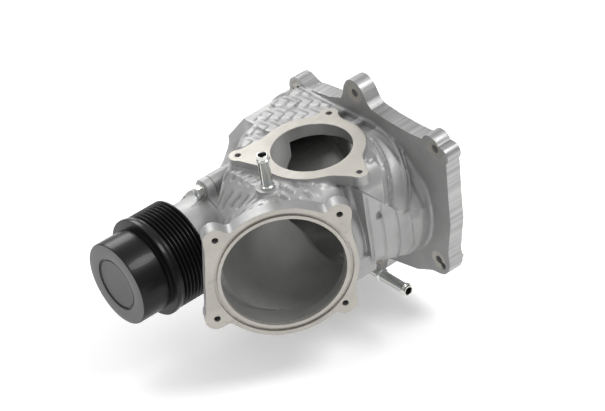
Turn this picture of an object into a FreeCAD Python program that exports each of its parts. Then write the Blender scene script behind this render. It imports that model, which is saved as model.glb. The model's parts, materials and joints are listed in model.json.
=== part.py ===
import FreeCAD, Part
import os

import Sketcher

# Supercharger inlet and drive housing, millimetres.
# Origin: on the drive axis, in the plane of the rear flange's mounting face.
# +Y runs along the drive axis towards the rotor case, +Z is up, the pulley is at -Y.

DOC = FreeCAD.newDocument("InletDriveHousing")
SHEET = DOC.addObject("Spreadsheet::Sheet", "sizes")

SIZES = {
    # rear flange
    "flange_thick": 14.0,
    "drive_disc_rad": 68.0,
    "rotor_disc_rad": 83.0,
    "rotor_x": 85.8,
    "rotor_z": 23.6,
    "flange_top_z": 91.0,
    "flange_right_x": 169.0,
    "flange_bottom_z": 56.0,
    "boss_rad": 12.0,
    "hidden_boss_rad": 11.0,
    "bolt_hole_rad": 3.6,
    "dowel_rad": 3.0,
    "dowel_len": 16.0,
    # casting
    "wall": 6.0,
    "body_len": 60.0,
    "rotor_case_rad": 58.0,
    "drive_case_rad": 64.0,
    "deck_z": 77.0,
    "nose_boss_rad": 36.0,
    "nose_joint": 122.0,
    # throttle inlet
    "inlet_x": 119.8,
    "inlet_y": -144.8,
    "inlet_z": 24.0,
    "inlet_yaw": 61.4,
    "inlet_bore_rad": 50.3,
    "inlet_ring_rad": 60.0,
    "inlet_flange_thick": 12.0,
    "inlet_bore_len": 20.0,
    "cast_step": 1.2,
    "duct_half": 67.0,
    "inlet_groove_inner": 53.2,
    "inlet_groove_outer": 56.0,
    "inlet_groove_deep": 2.0,
    "tapped_rad": 2.6,
    "tapped_deep": 11.0,
    "lobe_rad": 9.0,
    # top port
    "port_x": 76.1,
    "port_y": -70.4,
    "port_z": 84.0,
    "port_bore_rad": 33.1,
    "port_land_rad": 43.5,
    "port_flange_thick": 9.0,
    # shaft tunnel and bearings
    "tunnel_rad": 29.0,
    "race_out_rad": 21.0,
    "race_wide": 12.0,
    "shaft_rad": 10.0,
    "ball_rad": 3.175,
    "ball_track_rad": 15.5,
    "ball_gap": 0.06,
    "cage_half": 1.1,
    "cage_rim": 1.2,
    "shoulder_step": 2.5,
    "front_bearing_y": -164.0,
    "rear_bearing_y": -32.0,
    "circlip_wide": 1.6,
    "circlip_deep": 1.2,
    "seal_wide": 7.0,
    "seal_gap": 0.05,
    # nose
    "nose_rad": 32.5,
    "nose_front": 178.0,
    "nose_flange_thick": 8.0,
    "nose_bolt_pcr": 40.0,
    "nose_bolt_rad": 3.0,
    "nose_spigot_rad": 26.0,
    "nose_spigot_len": 8.0,
    "nose_gap": 0.5,
    "o_ring_rad": 1.3,
    # pulley
    "pulley_front": 226.0,
    "hub_rad": 36.0,
    "hub_len": 29.0,
    "ring_rad": 43.0,
    "ring_thick": 6.0,
    "rib_tip_rad": 42.0,
    "rib_pitch": 3.56,
    "rib_deep": 2.9,
    "rim_len": 31.0,
    "cup_rad": 34.0,
    "cup_deep": 19.5,
    "cap_rad": 23.0,
    "cap_thick": 4.0,
    "nut_room_rad": 18.0,
    "nut_room_deep": 26.0,
    "nut_flats": 24.0,
    "nut_high": 12.0,
    "washer_thick": 3.0,
    "thread_rad": 8.0,
    "key_wide": 6.0,
    "key_high": 6.0,
    "key_len": 14.0,
    # rear coupling
    "hub_flange_rad": 23.0,
    "hub_flange_thick": 8.0,
    "pin_circle_rad": 16.0,
    "pin_rad": 4.0,
    "pin_shank_rad": 3.0,
    "pin_reach": 14.0,
    # hose tubes
    "nipple_x": 89.5,
    "nipple_y": -126.8,
    "nipple_top": 113.6,
    "tube_rad": 4.7,
    "tube_bore_rad": 3.4,
    "bead_rad": 5.9,
    "side_y": -55.0,
    "side_z": -28.0,
    "side_end_x": 157.0,
    "side_rad": 4.4,
}
BALL_COUNT = 9
RIB_COUNT = 8
NOSE_BOLT_COUNT = 3
PIN_COUNT = 3

# bolt holes: rear flange (x, z), the first four stand on open ears; inlet (u, v) in its own face
# plane; top port (x, y) from the bore's centre
REAR_HOLES = {
    "ear_a": (-11.2, 71.6), "ear_b": (65.3, 101.5), "ear_c": (160.4, 89.3), "ear_d": (147.2, -25.3),
    "low_a": (66.0, -62.0), "low_b": (13.0, -74.5), "low_c": (-44.0, -61.5), "low_d": (-75.5, -6.5),
}
INLET_HOLES = {"tap_a": (-49.0, 44.0), "tap_b": (50.0, 43.0), "tap_c": (44.0, -42.0), "tap_d": (-58.0, -30.0)}
PORT_HOLES = {"port_a": (-37.7, -45.3), "port_b": (-26.6, 40.3), "port_c": (55.5, 2.7)}
REAR_DOWELS = {"dowel_a": (152.0, -29.0), "dowel_b": (-60.0, -38.0)}


def fill_sheet():
    """Writes every driving size to the sheet, one named cell each."""
    named = dict(SIZES)
    for table in (REAR_HOLES, INLET_HOLES, PORT_HOLES, REAR_DOWELS):
        for name, (first, second) in table.items():
            named[name + "_one"] = first
            named[name + "_two"] = second
    for row, (name, value) in enumerate(named.items(), start=1):
        SHEET.set("A%d" % row, name)
        SHEET.set("B%d" % row, str(value))
        SHEET.setAlias("B%d" % row, name)
    DOC.recompute()


def expr(text):
    """Turns $name into a reference to the sheet's cell of that name."""
    return text.replace("$", "sizes.")


def value(text):
    """The present value of an expression, as a plain number."""
    found = SHEET.evalExpression(expr(text))
    return float(getattr(found, "Value", found))


def place(thing, x="0", y="0", z="0", yaw="0", pitch="0", roll="0"):
    """Binds a Placement: yaw about Z, after pitch about Y, after roll about X, in degrees."""
    spot = "create(<<vector>>; %s; %s; %s)" % (expr(x), expr(y), expr(z))
    turn = "create(<<rotation>>; %s; %s; %s)" % (expr(yaw), expr(pitch), expr(roll))
    thing.setExpression("Placement", "create(<<placement>>; %s; %s)" % (spot, turn))
    return thing


def block(name, low, high):
    """A box between two corners, given as expressions."""
    box = DOC.addObject("Part::Box", name)
    for side, a, b in zip(("Length", "Width", "Height"), low, high):
        box.setExpression(side, expr("(%s) - (%s)" % (b, a)))
    return place(box, *low)


def rod(name, radius, length, x="0", y="0", z="0", yaw="0", pitch="0", roll="0"):
    """A cylinder that starts at a point and runs along its own Z."""
    cylinder = DOC.addObject("Part::Cylinder", name)
    cylinder.setExpression("Radius", expr(radius))
    cylinder.setExpression("Height", expr(length))
    return place(cylinder, x, y, z, yaw, pitch, roll)


def rod_back(name, radius, y_from, y_to, x="0", z="0"):
    """A cylinder along +Y from y_from to y_to."""
    return rod(name, radius, "(%s) - (%s)" % (y_to, y_from), x, y_from, z, roll="-90")


def join(name, pieces):
    fused = DOC.addObject("Part::MultiFuse", name)
    fused.Shapes = pieces
    return fused


def cut(name, base, tool):
    taken = DOC.addObject("Part::Cut", name)
    taken.Base = base
    taken.Tool = tool
    return taken


def new_body(name):
    return DOC.addObject("PartDesign::Body", name)


def sketch_on(body, role, name):
    """A sketch on one of the body's own origin planes."""
    sketch = body.newObject("Sketcher::SketchObject", name)
    plane = [part for part in body.Origin.OriginFeatures if part.Role == role][0]
    sketch.AttachmentSupport = [(plane, "")]
    sketch.MapMode = "FlatFace"
    return sketch


def bind(sketch, kind, args, text):
    """One driving dimension, bound to the sheet."""
    number = sketch.addConstraint(Sketcher.Constraint(kind, *args, value(text)))
    sketch.setExpression("Constraints[%d]" % number, expr(text))


def draw_outline(sketch, points):
    """A closed outline of straight edges, each corner bound in both directions."""
    spots = [FreeCAD.Vector(value(a), value(b), 0) for a, b in points]
    count = len(spots)
    first = sketch.GeometryCount
    for index in range(count):
        sketch.addGeometry(Part.LineSegment(spots[index], spots[(index + 1) % count]))
    for index in range(count):
        after = first + (index + 1) % count
        sketch.addConstraint(Sketcher.Constraint("Coincident", first + index, 2, after, 1))
    for index, (a, b) in enumerate(points):
        bind(sketch, "DistanceX", (-1, 1, first + index, 1), a)
        bind(sketch, "DistanceY", (-1, 1, first + index, 1), b)


def draw_circle(sketch, a, b, radius):
    """A full circle with bound centre and radius."""
    centre = FreeCAD.Vector(value(a), value(b), 0)
    circle = sketch.addGeometry(Part.Circle(centre, FreeCAD.Vector(0, 0, 1), value(radius)))
    bind(sketch, "DistanceX", (-1, 1, circle, 3), a)
    bind(sketch, "DistanceY", (-1, 1, circle, 3), b)
    bind(sketch, "Radius", (circle,), radius)


def turn_profile(body, name, points, kind="PartDesign::Revolution"):
    """A full turn about the body's Y axis; the points are (radius, y)."""
    sketch = sketch_on(body, "XY_Plane", name + "_sketch")
    draw_outline(sketch, points)
    feature = body.newObject(kind, name)
    feature.Profile = sketch
    feature.ReferenceAxis = (sketch, ["V_Axis"])
    feature.Angle = 360
    DOC.recompute()
    return feature


def turned(name, points, **where):
    """A turned sub-part: one outline revolved about Y."""
    body = new_body(name)
    turn_profile(body, name + "_turn", points)
    return place(body, **where)


def washer_points(inner, outer, y_from, y_to):
    return [(inner, y_from), (outer, y_from), (outer, y_to), (inner, y_to)]


def at_angle(radius, degrees):
    """(across, up) expressions of a point on a circle about the drive axis."""
    return "%s * cos(%s deg)" % (radius, degrees), "%s * sin(%s deg)" % (radius, degrees)


# ---- casting ----

def rear_flange():
    """The big rear plate: two round fields, a top field and an ear at each bolt."""
    front = "-$flange_thick"
    pieces = [
        rod_back("drive_field", "$drive_disc_rad", front, "0"),
        block("mid_field", ("0", front, "-$flange_bottom_z"), ("$rotor_x", "0", "$deck_z - $wall")),
        block("right_field", ("$rotor_x", front, "0"), ("$flange_right_x", "0", "$flange_top_z")),
        block("top_field", ("$ear_b_one - $boss_rad", front, "$rotor_z"), ("$rotor_x", "0", "$flange_top_z")),
        block(
            "ear_b_neck", ("$ear_b_one - $boss_rad", front, "$rotor_z"),
            ("$ear_b_one + $boss_rad", "0", "$ear_b_two"),
        ),
    ]
    round_field = rod_back("rotor_field", "$rotor_disc_rad", front, "0", "$rotor_x", "$rotor_z")
    under_top = block(
        "under_top", ("0", front, "-2 * $rotor_disc_rad"), ("3 * $rotor_disc_rad", "0", "$flange_top_z"),
    )
    trimmed = DOC.addObject("Part::MultiCommon", "rotor_field_trimmed")
    trimmed.Shapes = [round_field, under_top]
    pieces.append(trimmed)
    for name in REAR_HOLES:
        radius = "$boss_rad" if name.startswith("ear") else "$hidden_boss_rad"
        pieces.append(rod_back(name + "_ear", radius, front, "0", "$%s_one" % name, "$%s_two" % name))
    return join("rear_flange", pieces)


def loft_between(name, radius, depth, half_wide, half_high, end_y):
    """A duct from the round inlet, depth behind its face, to an upright oval in a plane across Y."""
    mouth = DOC.addObject("Part::Circle", name + "_mouth")
    mouth.setExpression("Radius", expr(radius))
    place(
        mouth, "$inlet_x - (%s) * sin($inlet_yaw * 1 deg)" % depth,
        "$inlet_y + (%s) * cos($inlet_yaw * 1 deg)" % depth, "$inlet_z", yaw="$inlet_yaw", roll="90",
    )
    end = DOC.addObject("Part::Ellipse", name + "_end")
    end.setExpression("MajorRadius", expr(half_wide))
    end.setExpression("MinorRadius", expr(half_high))
    centre_x = "$rotor_x + $rotor_case_rad - $duct_half"
    place(end, centre_x, end_y, "$inlet_z", roll="90")
    duct = DOC.addObject("Part::Loft", name)
    duct.Sections = [mouth, end]
    duct.Solid = True
    return duct


def drive_case(name, inset, front_y, back_y):
    """The bell-shaped case about the drive axis, less an inset."""
    points = [
        ("0", front_y),
        ("$nose_boss_rad - %s" % inset, front_y),
        ("$nose_boss_rad + 1 - %s" % inset, "-$flange_thick - 1.4 * $body_len"),
        ("0.77 * $drive_case_rad - %s" % inset, "-$flange_thick - 1.05 * $body_len"),
        ("0.9 * $drive_case_rad - %s" % inset, "-$flange_thick - 0.8 * $body_len"),
        ("$drive_case_rad - %s" % inset, "-$flange_thick - 0.3 * $body_len"),
        ("$drive_case_rad - %s" % inset, back_y),
        ("0", back_y),
    ]
    return turned(name, points)


def core_block(name, inset, front_y, back_y):
    """The middle of the casting, which fills between the two round cases up to the deck."""
    body = new_body(name)
    sketch = sketch_on(body, "XZ_Plane", name + "_sketch")
    left = "-0.55 * $drive_case_rad + %s" % inset
    top = "$deck_z - %s" % inset
    draw_outline(sketch, [
        (left, "-0.72 * $drive_case_rad + %s" % inset),
        ("0.3 * $drive_case_rad", "-0.9 * $drive_case_rad + %s" % inset),
        ("$rotor_x", "$rotor_z - $rotor_case_rad + 0.5 + %s" % inset),
        ("$rotor_x", "$rotor_z + $rotor_case_rad - 0.5 - %s" % inset),
        ("-0.12 * $drive_case_rad + %s" % inset, top),
        (left, "0.75 * $drive_case_rad - %s" % inset),
    ])
    pad = body.newObject("PartDesign::Pad", name + "_pad")
    pad.Profile = sketch
    pad.setExpression("Length", expr("(%s) - (%s)" % (back_y, front_y)))
    DOC.recompute()
    return place(body, y=back_y)


def inlet_flange():
    """The inlet's ring and four bolt lobes, in their own frame: the face looks along local -Y."""
    thick = "$inlet_flange_thick"
    pieces = [rod_back("inlet_ring", "$inlet_ring_rad", "0", thick)]
    for name in INLET_HOLES:
        spot = ("$%s_one" % name, "$%s_two" % name)
        pieces.append(rod_back(name + "_lobe", "$lobe_rad", "0", thick, *spot))
        inner = ("0.8 * $%s_one" % name, "0.8 * $%s_two" % name)
        pieces.append(rod_back(name + "_neck", "1.25 * $lobe_rad", "0", thick, *inner))
    flange = join("inlet_flange", pieces)
    return place(flange, "$inlet_x", "$inlet_y", "$inlet_z", yaw="$inlet_yaw")


def inlet_cuts():
    """The bore, seal groove and tapped holes of the inlet, in the same frame as its flange."""
    groove = cut(
        "inlet_groove",
        rod_back("groove_outer", "$inlet_groove_outer", "-1", "$inlet_groove_deep"),
        rod_back("groove_inner", "$inlet_groove_inner", "-2", "$inlet_groove_deep + 1"),
    )
    pieces = [rod_back("inlet_bore", "$inlet_bore_rad", "-1", "$inlet_bore_len"), groove]
    for name in INLET_HOLES:
        spot = ("$%s_one" % name, "$%s_two" % name)
        pieces.append(rod_back(name + "_hole", "$tapped_rad", "-1", "$tapped_deep", *spot))
    cuts = join("inlet_cuts", pieces)
    return place(cuts, "$inlet_x", "$inlet_y", "$inlet_z", yaw="$inlet_yaw")


def port_flange():
    """The top port's land, its neck and three ears."""
    low = "$port_z - $port_flange_thick"
    pieces = [
        rod("port_neck", "$port_land_rad - 3", "0.5 * $port_z", "$port_x", "$port_y", "0.5 * $port_z - 1"),
        rod("port_land", "$port_land_rad", "$port_flange_thick", "$port_x", "$port_y", low),
    ]
    for name in PORT_HOLES:
        for tag, share, radius in (("_ear", "1", "$lobe_rad - 1"), ("_web", "0.72", "1.5 * $lobe_rad")):
            x = "$port_x + %s * $%s_one" % (share, name)
            y = "$port_y + %s * $%s_two" % (share, name)
            pieces.append(rod(name + tag, radius, "$port_flange_thick", x, y, low))
    return join("port_flange", pieces)


def port_cuts():
    pieces = [rod("port_bore", "$port_bore_rad", "0.75 * $port_z", "$port_x", "$port_y", "0.25 * $port_z + 1")]
    for name in PORT_HOLES:
        x = "$port_x + $%s_one" % name
        y = "$port_y + $%s_two" % name
        pieces.append(rod(name + "_hole", "$tapped_rad", "$tapped_deep", x, y, "$port_z - $tapped_deep + 1"))
    return join("port_cuts", pieces)


def hose_bosses():
    """Round bosses that the two hose tubes are pressed into."""
    top = "$inlet_z + $inlet_bore_rad + $wall"
    return [
        rod("nipple_boss", "2 * $tube_rad", "$wall + 5", "$nipple_x", "$nipple_y", top + " - $wall - 2"),
        rod("side_boss", "2 * $side_rad", "30", "$rotor_x - 6", "$side_y", "$side_z", pitch="90"),
    ]


def hoops_on_case():
    """Hoops round the outer side of the rotor case, below the top port's level."""
    hoops = []
    for index, (share, thick) in enumerate(((0.95, 4.0), (0.72, 3.0), (0.46, 3.0), (0.2, 3.0))):
        start = "-$flange_thick - %s * $body_len" % share
        hoops.append(rod_back(
            "hoop_%d" % index, "$rotor_case_rad + 2", start, "%s + %s" % (start, thick),
            "$rotor_x", "$rotor_z",
        ))
    side = block(
        "hoop_side", ("$rotor_x + 22", "-$flange_thick - $body_len", "$rotor_z - 2 * $rotor_case_rad"),
        ("$rotor_x + 2 * $rotor_case_rad", "-$flange_thick", "$rotor_z + 2 * $rotor_case_rad"),
    )
    kept = DOC.addObject("Part::MultiCommon", "hoops")
    kept.Shapes = [join("hoop_rounds", hoops), side]
    return kept


def inlet_housing():
    """The hollow casting, machined where other pieces sit."""
    front = "-$flange_thick - $body_len"
    outer = [
        rear_flange(),
        drive_case("drive_case", "0", "-$nose_joint", "-$flange_thick + 1"),
        rod_back("rotor_case", "$rotor_case_rad", front, "-$flange_thick + 1", "$rotor_x", "$rotor_z"),
        core_block("core", "0", front, "-$flange_thick + 1"),
        loft_between(
            "duct", "$inlet_bore_rad + $wall", "$inlet_flange_thick - 2", "$duct_half",
            "$inlet_bore_rad + $wall", front,
        ),
        inlet_flange(),
        port_flange(),
        hoops_on_case(),
    ] + hose_bosses()
    for index in range(NOSE_BOLT_COUNT):
        x, z = at_angle("$nose_bolt_pcr", 90 + 360 * index // NOSE_BOLT_COUNT)
        outer.append(rod_back("nose_lug_%d" % index, "$lobe_rad", "-$nose_joint", "-$nose_joint + 30", x, z))
    hollow = [
        loft_between(
            "duct_inner", "$inlet_bore_rad - $cast_step", "$inlet_bore_len - 3", "$duct_half - $wall",
            "$inlet_bore_rad", front + " + $wall",
        ),
        rod_back("rotor_inner", "$rotor_case_rad - $wall", front + " + $wall", "1", "$rotor_x", "$rotor_z"),
        core_block("core_inner", "$wall", front + " + $wall", "-$wall"),
        drive_case("drive_inner", "$wall", "-$flange_thick - 1.2 * $body_len", "-$wall"),
        inlet_cuts(),
        port_cuts(),
    ]
    shell = cut("shell", join("casting_outer", outer), join("casting_hollow", hollow))
    half = "0.5 * $wall"
    inside = [
        rod_back("tunnel", "$tunnel_rad", "-$nose_joint + 10", "0"),
        block("strut_low", ("-" + half, "-$body_len", "-$drive_case_rad + 2"), (half, "-2", "0")),
        block("strut_left", ("-$drive_case_rad + 2", "-$body_len", "-" + half), ("0", "-2", half)),
    ]
    cast = join("cast", [shell] + inside)
    back = "$rear_bearing_y + $race_wide"
    bores = [
        rod_back("tunnel_bore", "$race_out_rad - 3", "-$nose_joint - 1", "1"),
        rod_back("rear_race_bore", "$race_out_rad", "$rear_bearing_y", "1"),
        rod_back("rear_clip_groove", "$race_out_rad + $circlip_deep", back, back + " + $circlip_wide"),
        rod_back("coupling_room", "$hub_flange_rad + 2", "-$hub_flange_thick - 2", "1"),
        rod_back("spigot_bore", "$nose_spigot_rad", "-$nose_joint - 1", "-$nose_joint + $nose_spigot_len"),
        rod("nipple_hole", "$tube_rad", "40", "$nipple_x", "$nipple_y", "$inlet_z + 20"),
        rod("side_hole", "$side_rad", "70", "$rotor_x - 30", "$side_y", "$side_z", pitch="90"),
        rod("side_relief", "$bead_rad + 0.3", "30", "$rotor_x + 33", "$side_y", "$side_z", pitch="90"),
    ]
    for name in REAR_HOLES:
        bores.append(rod_back(
            name + "_hole", "$bolt_hole_rad", "-$flange_thick - 30", "1", "$%s_one" % name, "$%s_two" % name,
        ))
    for name in REAR_DOWELS:
        bores.append(rod_back(
            name + "_hole", "$dowel_rad", "-$flange_thick - 1", "1", "$%s_one" % name, "$%s_two" % name,
        ))
    for index in range(NOSE_BOLT_COUNT):
        x, z = at_angle("$nose_bolt_pcr", 90 + 360 * index // NOSE_BOLT_COUNT)
        bores.append(rod_back(
            "nose_tap_%d" % index, "$nose_bolt_rad", "-$nose_joint - 1", "-$nose_joint + 18", x, z,
        ))
    return cut("inlet_housing", cast, join("housing_bores", bores))


# ---- nose and its bolts ----

def drive_nose():
    """The bearing carrier: a barrel that the pulley overhangs, with a flange and a spigot."""
    body = new_body("drive_nose")
    joint = "-$nose_joint"
    turn_profile(body, "nose_turn", [
        ("$race_out_rad - 3", joint + " + $nose_spigot_len - $nose_gap"),
        ("$race_out_rad - 3", "$front_bearing_y + $race_wide"),
        ("$race_out_rad", "$front_bearing_y + $race_wide"),
        ("$race_out_rad", "-$nose_front"),
        ("$nose_rad - 2", "-$nose_front"),
        ("$nose_rad", "-$nose_front + 2"),
        ("$nose_rad", joint + " - $nose_flange_thick - 1"),
        ("$nose_rad + 1", joint + " - $nose_flange_thick"),
        ("$nose_boss_rad", joint + " - $nose_flange_thick"),
        ("$nose_boss_rad", joint),
        ("$nose_spigot_rad", joint),
        ("$nose_spigot_rad", joint + " + $nose_spigot_len - $nose_gap"),
    ])
    ear = sketch_on(body, "XZ_Plane", "nose_ear_sketch")
    ear.setExpression("AttachmentOffset.Base.z", expr("$nose_joint"))
    draw_circle(ear, "0", "$nose_bolt_pcr", "$lobe_rad")
    pad = body.newObject("PartDesign::Pad", "nose_ear")
    pad.Profile = ear
    pad.setExpression("Length", expr("$nose_flange_thick"))
    DOC.recompute()
    hole = sketch_on(body, "XZ_Plane", "nose_hole_sketch")
    hole.setExpression("AttachmentOffset.Base.z", expr("$nose_joint + $nose_flange_thick"))
    draw_circle(hole, "0", "$nose_bolt_pcr", "$nose_bolt_rad + 0.3")
    pocket = body.newObject("PartDesign::Pocket", "nose_ear_hole")
    pocket.Profile = hole
    pocket.setExpression("Length", expr("$nose_flange_thick + 2"))
    DOC.recompute()
    turn = body.newObject("PartDesign::PolarPattern", "nose_ears")
    turn.Originals = [pad, pocket]
    axis = [part for part in body.Origin.OriginFeatures if part.Role == "Y_Axis"][0]
    turn.Axis = (axis, [""])
    turn.Angle = 360
    turn.Occurrences = NOSE_BOLT_COUNT
    body.Tip = turn
    DOC.recompute()
    turn_profile(body, "o_ring_groove", washer_points(
        "$nose_spigot_rad - 2 * $o_ring_rad", "$nose_spigot_rad + 1",
        joint + " + 2", joint + " + 2 + 2.4 * $o_ring_rad",
    ), "PartDesign::Groove")
    groove_y = "$front_bearing_y - $circlip_wide"
    turn_profile(body, "clip_groove", washer_points(
        "$race_out_rad - 1", "$race_out_rad + $circlip_deep", groove_y, "$front_bearing_y",
    ), "PartDesign::Groove")
    return place(body)


def nose_bolts():
    """Flange-head bolts with a hexagon, threaded into the casting."""
    bolts = []
    head_y = "-$nose_joint - $nose_flange_thick"
    for index in range(NOSE_BOLT_COUNT):
        x, z = at_angle("$nose_bolt_pcr", 90 + 360 * index // NOSE_BOLT_COUNT)
        prism = DOC.addObject("Part::Prism", "bolt_hex_%d" % index)
        prism.Polygon = 6
        prism.setExpression("Circumradius", expr("1.8 * $nose_bolt_rad"))
        prism.setExpression("Height", expr("2 * $nose_bolt_rad"))
        place(prism, x, head_y, z, roll="90")
        collar = rod_back("bolt_collar_%d" % index, "2 * $nose_bolt_rad", head_y + " - 1.5", head_y, x, z)
        shank = rod_back("bolt_shank_%d" % index, "$nose_bolt_rad", head_y, "-$nose_joint + 16", x, z)
        bolts.append(join("bolt_%d" % index, [prism, collar, shank]))
    group = DOC.addObject("Part::Compound", "nose_bolts")
    group.Links = bolts
    return group


def ring_torus(name, ring_radius, cord_radius, y):
    """A round-section ring about the drive axis."""
    ring = DOC.addObject("Part::Torus", name)
    ring.setExpression("Radius1", expr(ring_radius))
    ring.setExpression("Radius2", expr(cord_radius))
    return place(ring, y=y, roll="90")


# ---- pulley ----

def belt_pulley():
    """The pulley in one piece: front hub, ring, grooved rim and the cup that overhangs the nose."""
    body = new_body("belt_pulley")
    front = "-$pulley_front"
    ring = front + " + $hub_len"
    rim = ring + " + $ring_thick"
    back = rim + " + $rim_len"
    turn_profile(body, "pulley_turn", [
        ("$shaft_rad", front + " + $nut_room_deep"),
        ("$nut_room_rad", front + " + $nut_room_deep"),
        ("$nut_room_rad", front + " + $cap_thick"),
        ("$cap_rad", front + " + $cap_thick"),
        ("$cap_rad", front),
        ("$hub_rad - 0.6", front),
        ("$hub_rad", front + " + 0.6"),
        ("$hub_rad", ring),
        ("$ring_rad - 1", ring),
        ("$ring_rad", ring + " + 1"),
        ("$ring_rad", rim + " - 2"),
        ("$rib_tip_rad", rim),
        ("$rib_tip_rad", back),
        ("$cup_rad", back),
        ("$cup_rad", back + " - $cup_deep"),
        ("$shaft_rad + 4", back + " - $cup_deep"),
        ("$shaft_rad + 4", "-$nose_front - 1"),
        ("$shaft_rad", "-$nose_front - 1"),
    ])
    half = "0.5 * $rib_pitch"
    first = rim + " + 0.5 * ($rim_len - %d * $rib_pitch)" % RIB_COUNT
    sketch = sketch_on(body, "XY_Plane", "groove_sketch")
    draw_outline(sketch, [
        ("$rib_tip_rad - $rib_deep", first + " + %s - 0.3" % half),
        ("$rib_tip_rad + 0.4", first + " + 0.2"),
        ("$rib_tip_rad + 0.4", first + " + $rib_pitch - 0.2"),
        ("$rib_tip_rad - $rib_deep", first + " + %s + 0.3" % half),
    ])
    groove = body.newObject("PartDesign::Groove", "belt_groove")
    groove.Profile = sketch
    groove.ReferenceAxis = (sketch, ["V_Axis"])
    groove.Angle = 360
    DOC.recompute()
    row = body.newObject("PartDesign::LinearPattern", "belt_grooves")
    row.Originals = [groove]
    row.Direction = (sketch, ["V_Axis"])
    row.setExpression("Length", expr("%d * $rib_pitch" % (RIB_COUNT - 1)))
    row.Occurrences = RIB_COUNT
    body.Tip = row
    DOC.recompute()
    place(body)
    keyway = block(
        "pulley_keyway", ("-0.5 * $key_wide", "-$pulley_front", "0"),
        ("0.5 * $key_wide", "-$nose_front", "$shaft_rad + 0.5 * $key_high"),
    )
    return cut("belt_pulley_keyed", body, keyway)


def pulley_cap():
    """The disc that closes the hub, with a shallow centre."""
    front = "-$pulley_front"
    return turned("pulley_cap", [
        ("0", front + " + 0.6"),
        ("$cap_rad - 2.4", front + " + 0.6"),
        ("$cap_rad - 1.8", front + " + 0.3"),
        ("$cap_rad", front + " + 0.3"),
        ("$cap_rad", front + " + $cap_thick"),
        ("0", front + " + $cap_thick"),
    ])


def pulley_nut():
    """A hexagon nut on the shaft's threaded end."""
    body = new_body("pulley_nut")
    sketch = sketch_on(body, "XZ_Plane", "nut_sketch")
    corner = "$nut_flats / sqrt(3)"
    points = []
    for index in range(6):
        points.append(at_angle(corner, 60 * index))
    draw_outline(sketch, points)
    draw_circle(sketch, "0", "0", "$thread_rad")
    pad = body.newObject("PartDesign::Pad", "nut_pad")
    pad.Profile = sketch
    pad.setExpression("Length", expr("$nut_high"))
    DOC.recompute()
    return place(body, y="-$pulley_front + $nut_room_deep - $washer_thick")


def pulley_washer():
    seat = "-$pulley_front + $nut_room_deep"
    return turned("pulley_washer", washer_points(
        "$thread_rad + 0.2", "$nut_room_rad - 1", seat + " - $washer_thick", seat,
    ))


def pulley_key():
    """The parallel key between shaft and pulley, standing half in each."""
    return block(
        "pulley_key", ("-0.5 * $key_wide", "-$nose_front - 2 - $key_len", "$shaft_rad - 0.5 * $key_high"),
        ("0.5 * $key_wide", "-$nose_front - 2", "$shaft_rad + 0.5 * $key_high"),
    )


# ---- shaft and rear coupling ----

def input_shaft():
    """The input shaft: thread, pulley seat, two bearing seats and the coupling's seat."""
    body = new_body("input_shaft")
    seat = "-$pulley_front + $nut_room_deep"
    rear = "-$hub_flange_thick - 2"
    turn_profile(body, "shaft_turn", [
        ("0", seat + " - $washer_thick - $nut_high - 3"),
        ("$thread_rad - 1", seat + " - $washer_thick - $nut_high - 3"),
        ("$thread_rad", seat + " - $washer_thick - $nut_high - 2"),
        ("$thread_rad", seat),
        ("$shaft_rad", seat),
        ("$shaft_rad", rear),
        ("$shaft_rad - 2", rear),
        ("$shaft_rad - 2", "-1"),
        ("0", "-1"),
    ])
    place(body)
    keyway = block(
        "shaft_keyway", ("-0.5 * $key_wide", "-$nose_front - 2 - $key_len", "$shaft_rad - 0.5 * $key_high"),
        ("0.5 * $key_wide", "-$nose_front - 2", "2 * $shaft_rad"),
    )
    return cut("input_shaft_keyed", body, keyway)


def coupling_hub():
    """The flanged hub on the shaft's rear end, drilled for its drive pins."""
    rear = "-$hub_flange_thick - 2"
    body = new_body("coupling_hub")
    turn_profile(body, "hub_turn", [
        ("$shaft_rad - 2", rear + " + 0.5"),
        ("$hub_flange_rad - 1", rear + " + 0.5"),
        ("$hub_flange_rad", rear + " + 1.5"),
        ("$hub_flange_rad", "-1.5"),
        ("$hub_flange_rad - 1", "-0.5"),
        ("$shaft_rad - 2", "-0.5"),
    ])
    hole = sketch_on(body, "XZ_Plane", "pin_hole_sketch")
    draw_circle(hole, "0", "$pin_circle_rad", "$pin_shank_rad")
    pocket = body.newObject("PartDesign::Pocket", "pin_hole")
    pocket.Profile = hole
    pocket.Midplane = True
    pocket.setExpression("Length", expr("4 * $hub_flange_thick"))
    DOC.recompute()
    turn = body.newObject("PartDesign::PolarPattern", "pin_holes")
    turn.Originals = [pocket]
    axis = [part for part in body.Origin.OriginFeatures if part.Role == "Y_Axis"][0]
    turn.Axis = (axis, [""])
    turn.Angle = 360
    turn.Occurrences = PIN_COUNT
    body.Tip = turn
    DOC.recompute()
    return place(body)


def coupling_pins():
    """Shouldered pins: a thinner shank in the hub, and a stud in the rotor's half of the coupling."""
    pins = []
    for index in range(PIN_COUNT):
        x, z = at_angle("$pin_circle_rad", 90 + 360 * index // PIN_COUNT)
        shank = rod_back("pin_shank_%d" % index, "$pin_shank_rad", "-$hub_flange_thick - 1", "0", x, z)
        stud = rod_back("pin_stud_%d" % index, "$pin_rad", "-0.5", "$pin_reach", x, z)
        edge = DOC.addObject("Part::Chamfer", "pin_edge_%d" % index)
        edge.Base = stud
        DOC.recompute()
        edge.Edges = [(number, 0.6, 0.6) for number in circle_edges(stud)]
        pins.append(join("pin_%d" % index, [shank, edge]))
    group = DOC.addObject("Part::Compound", "coupling_pins")
    group.Links = pins
    return group


def circle_edges(thing):
    """The numbers of a shape's full circles, for rounding or bevelling both ends."""
    found = []
    for number, edge in enumerate(thing.Shape.Edges, start=1):
        if isinstance(edge.Curve, Part.Circle) and edge.Closed:
            found.append(number)
    return found


# ---- bearings ----

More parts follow.
